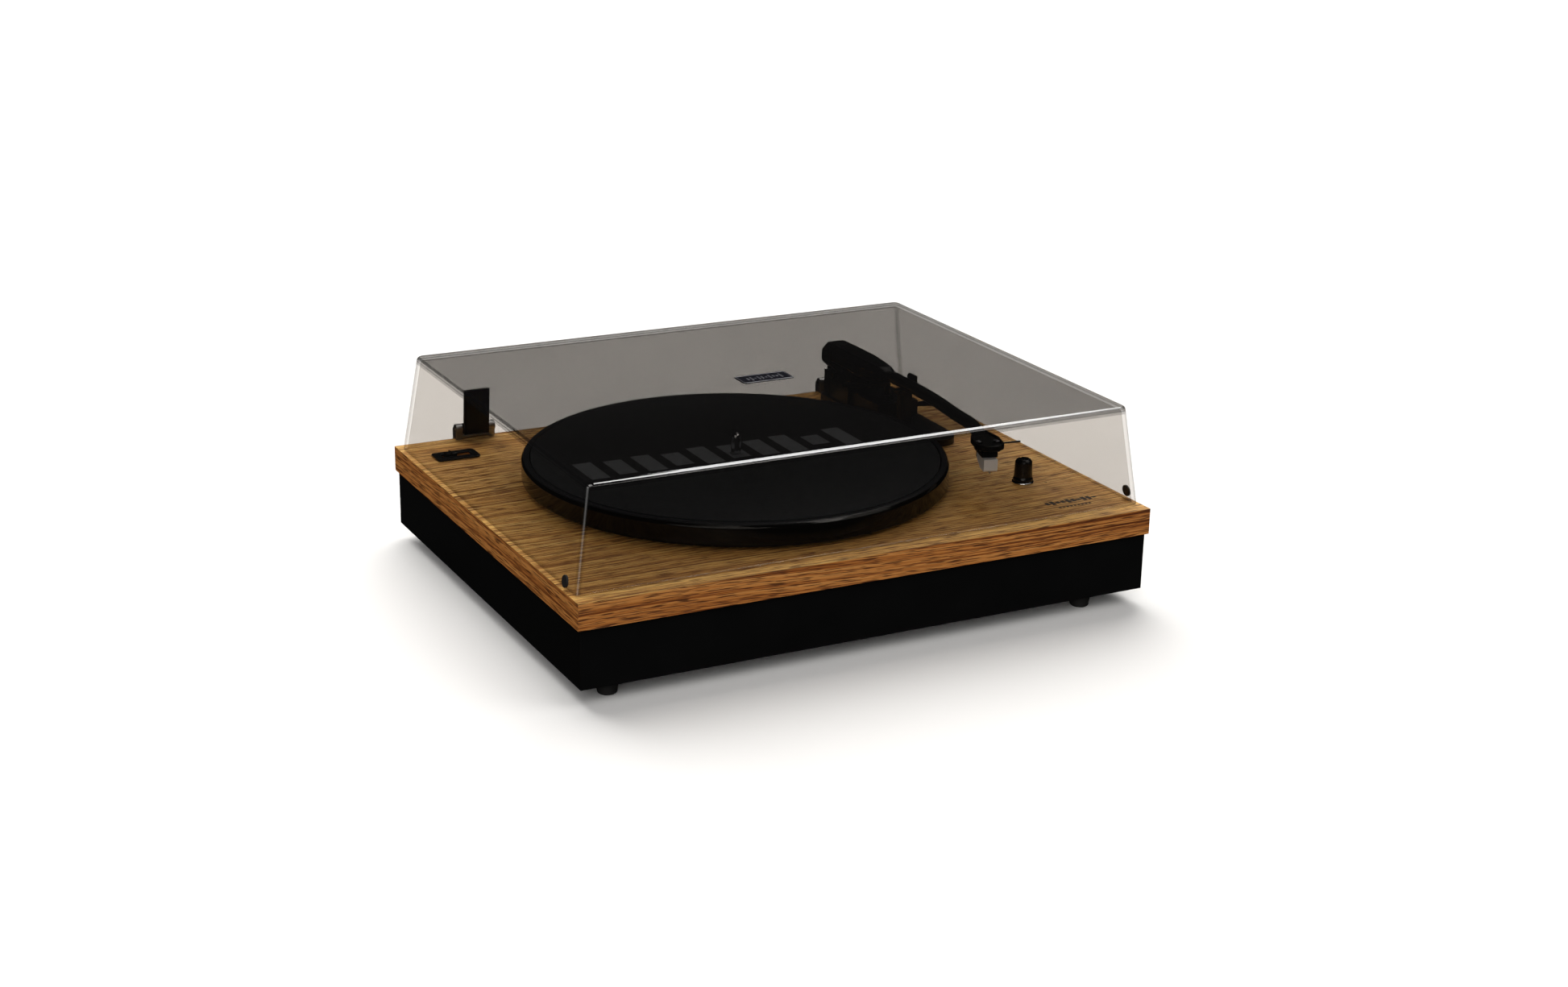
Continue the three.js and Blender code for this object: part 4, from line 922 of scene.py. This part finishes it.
# The top plate is tinted darker than the walls, though both are 3 mm thick.
smoke = 0.15 + 0.355 * plate_part + 0.02 * smear
tree = smoked.node_tree
set_values(shader, {
    # Base Color turns pale on the vertical corners' centre lines, a painted reflection; elsewhere it is the
    # acrylic's dark tint.
    "Base Color": glint.blend((0.003, 0.0028, 0.0026, 1), (0.5, 0.5, 0.5, 1)),
    "Roughness": 0.02 + 0.04 * smear,
    "Coat Weight": edge.ease(0.1, 0.5),
})
clear = Signal(tree).node("ShaderNodeBsdfTransparent", {}, {"Color": (1.0, 0.985, 0.968, 1)})
# Where the painted edge shade is high the mix leans to the dark shader, drawing dark lines along the
# cover's edges.
whole = clear.node("ShaderNodeMixShader", {}, {
    0: smoke.maths("MAXIMUM", 0.8 * edge),
    1: clear,
    2: Signal(tree, shader.outputs[0]),
})
tree.links.new(whole.socket, tree.nodes["Material Output"].inputs["Surface"])
settle(cover, "cover", smoked, "smoked_acrylic", "dust_cover")

low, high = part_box("cover_badge")
middle = (low + high) / 2
outline = box_outline((low.x, high.x), (low.y, high.y), 2 * mm)
badge = surface("cover_badge_plate", raised(outline, (low.z, high.z), 0.25 * mm))
badge_black, shader, place = new_finish("badge black", Coat_Weight=0.1)
x, y, _ = place.axes()
# Ten bars in a thin frame.
bar_pitch = 2.8 * mm
step = (x - middle.x + 14 * mm) * (1 / bar_pitch)
count = step.maths("FLOOR")
column = (step - count - 0.5).maths("ABSOLUTE")
tall = 2.2 * mm + 1.6 * mm * (count * 2.3).maths("SINE")
rise = (y - middle.y).maths("ABSOLUTE")
bars = (1 - column.ease(0.2, 0.28)) * (1 - (rise - tall).ease(-0.1 * mm, 0.1 * mm))
bars = bars * (1 - count.ease(9.4, 9.6)) * count.ease(-0.6, -0.4)
edge_x = (x - middle.x).maths("ABSOLUTE")
frame_line = edge_x.ease(18.2 * mm, 18.4 * mm).maths("MAXIMUM", rise.ease(7.2 * mm, 7.4 * mm))
frame_line = frame_line * (1 - edge_x.ease(18.7 * mm, 18.9 * mm)) * (1 - rise.ease(7.7 * mm, 7.9 * mm))
silver = bars.maths("MAXIMUM", frame_line)
set_values(shader, {
    "Base Color": silver.blend((0.006, 0.006, 0.009, 1), (0.42, 0.42, 0.45, 1)),
    "Metallic": silver,
    "Roughness": 0.22 + 0.1 * silver,
    "Normal": silver.relief(0.0001),
})
settle(badge, "cover", badge_black, "gloss_black_plastic", "cover_badge")

dress(rubber, "cover_bumper_left", "cover_bumper_right")

# ---- Hinges ----
# Each hinge is a black leaf screwed to the cover's back, turning on a steel pin in a plated bracket on
# the deck's back edge.

for side in ("left", "right"):
    node = "hinge_leaf_" + side
    settle(finished(node, 0.4 * mm, 3, 40), "cover", arm_black, "satin_black_plastic", node)
    node = "hinge_bracket_" + side
    settle(finished(node, 0.3 * mm, 2, 40), "deck", plated, "zinc_steel", node)
    dress(polished, "hinge_pin_" + side)
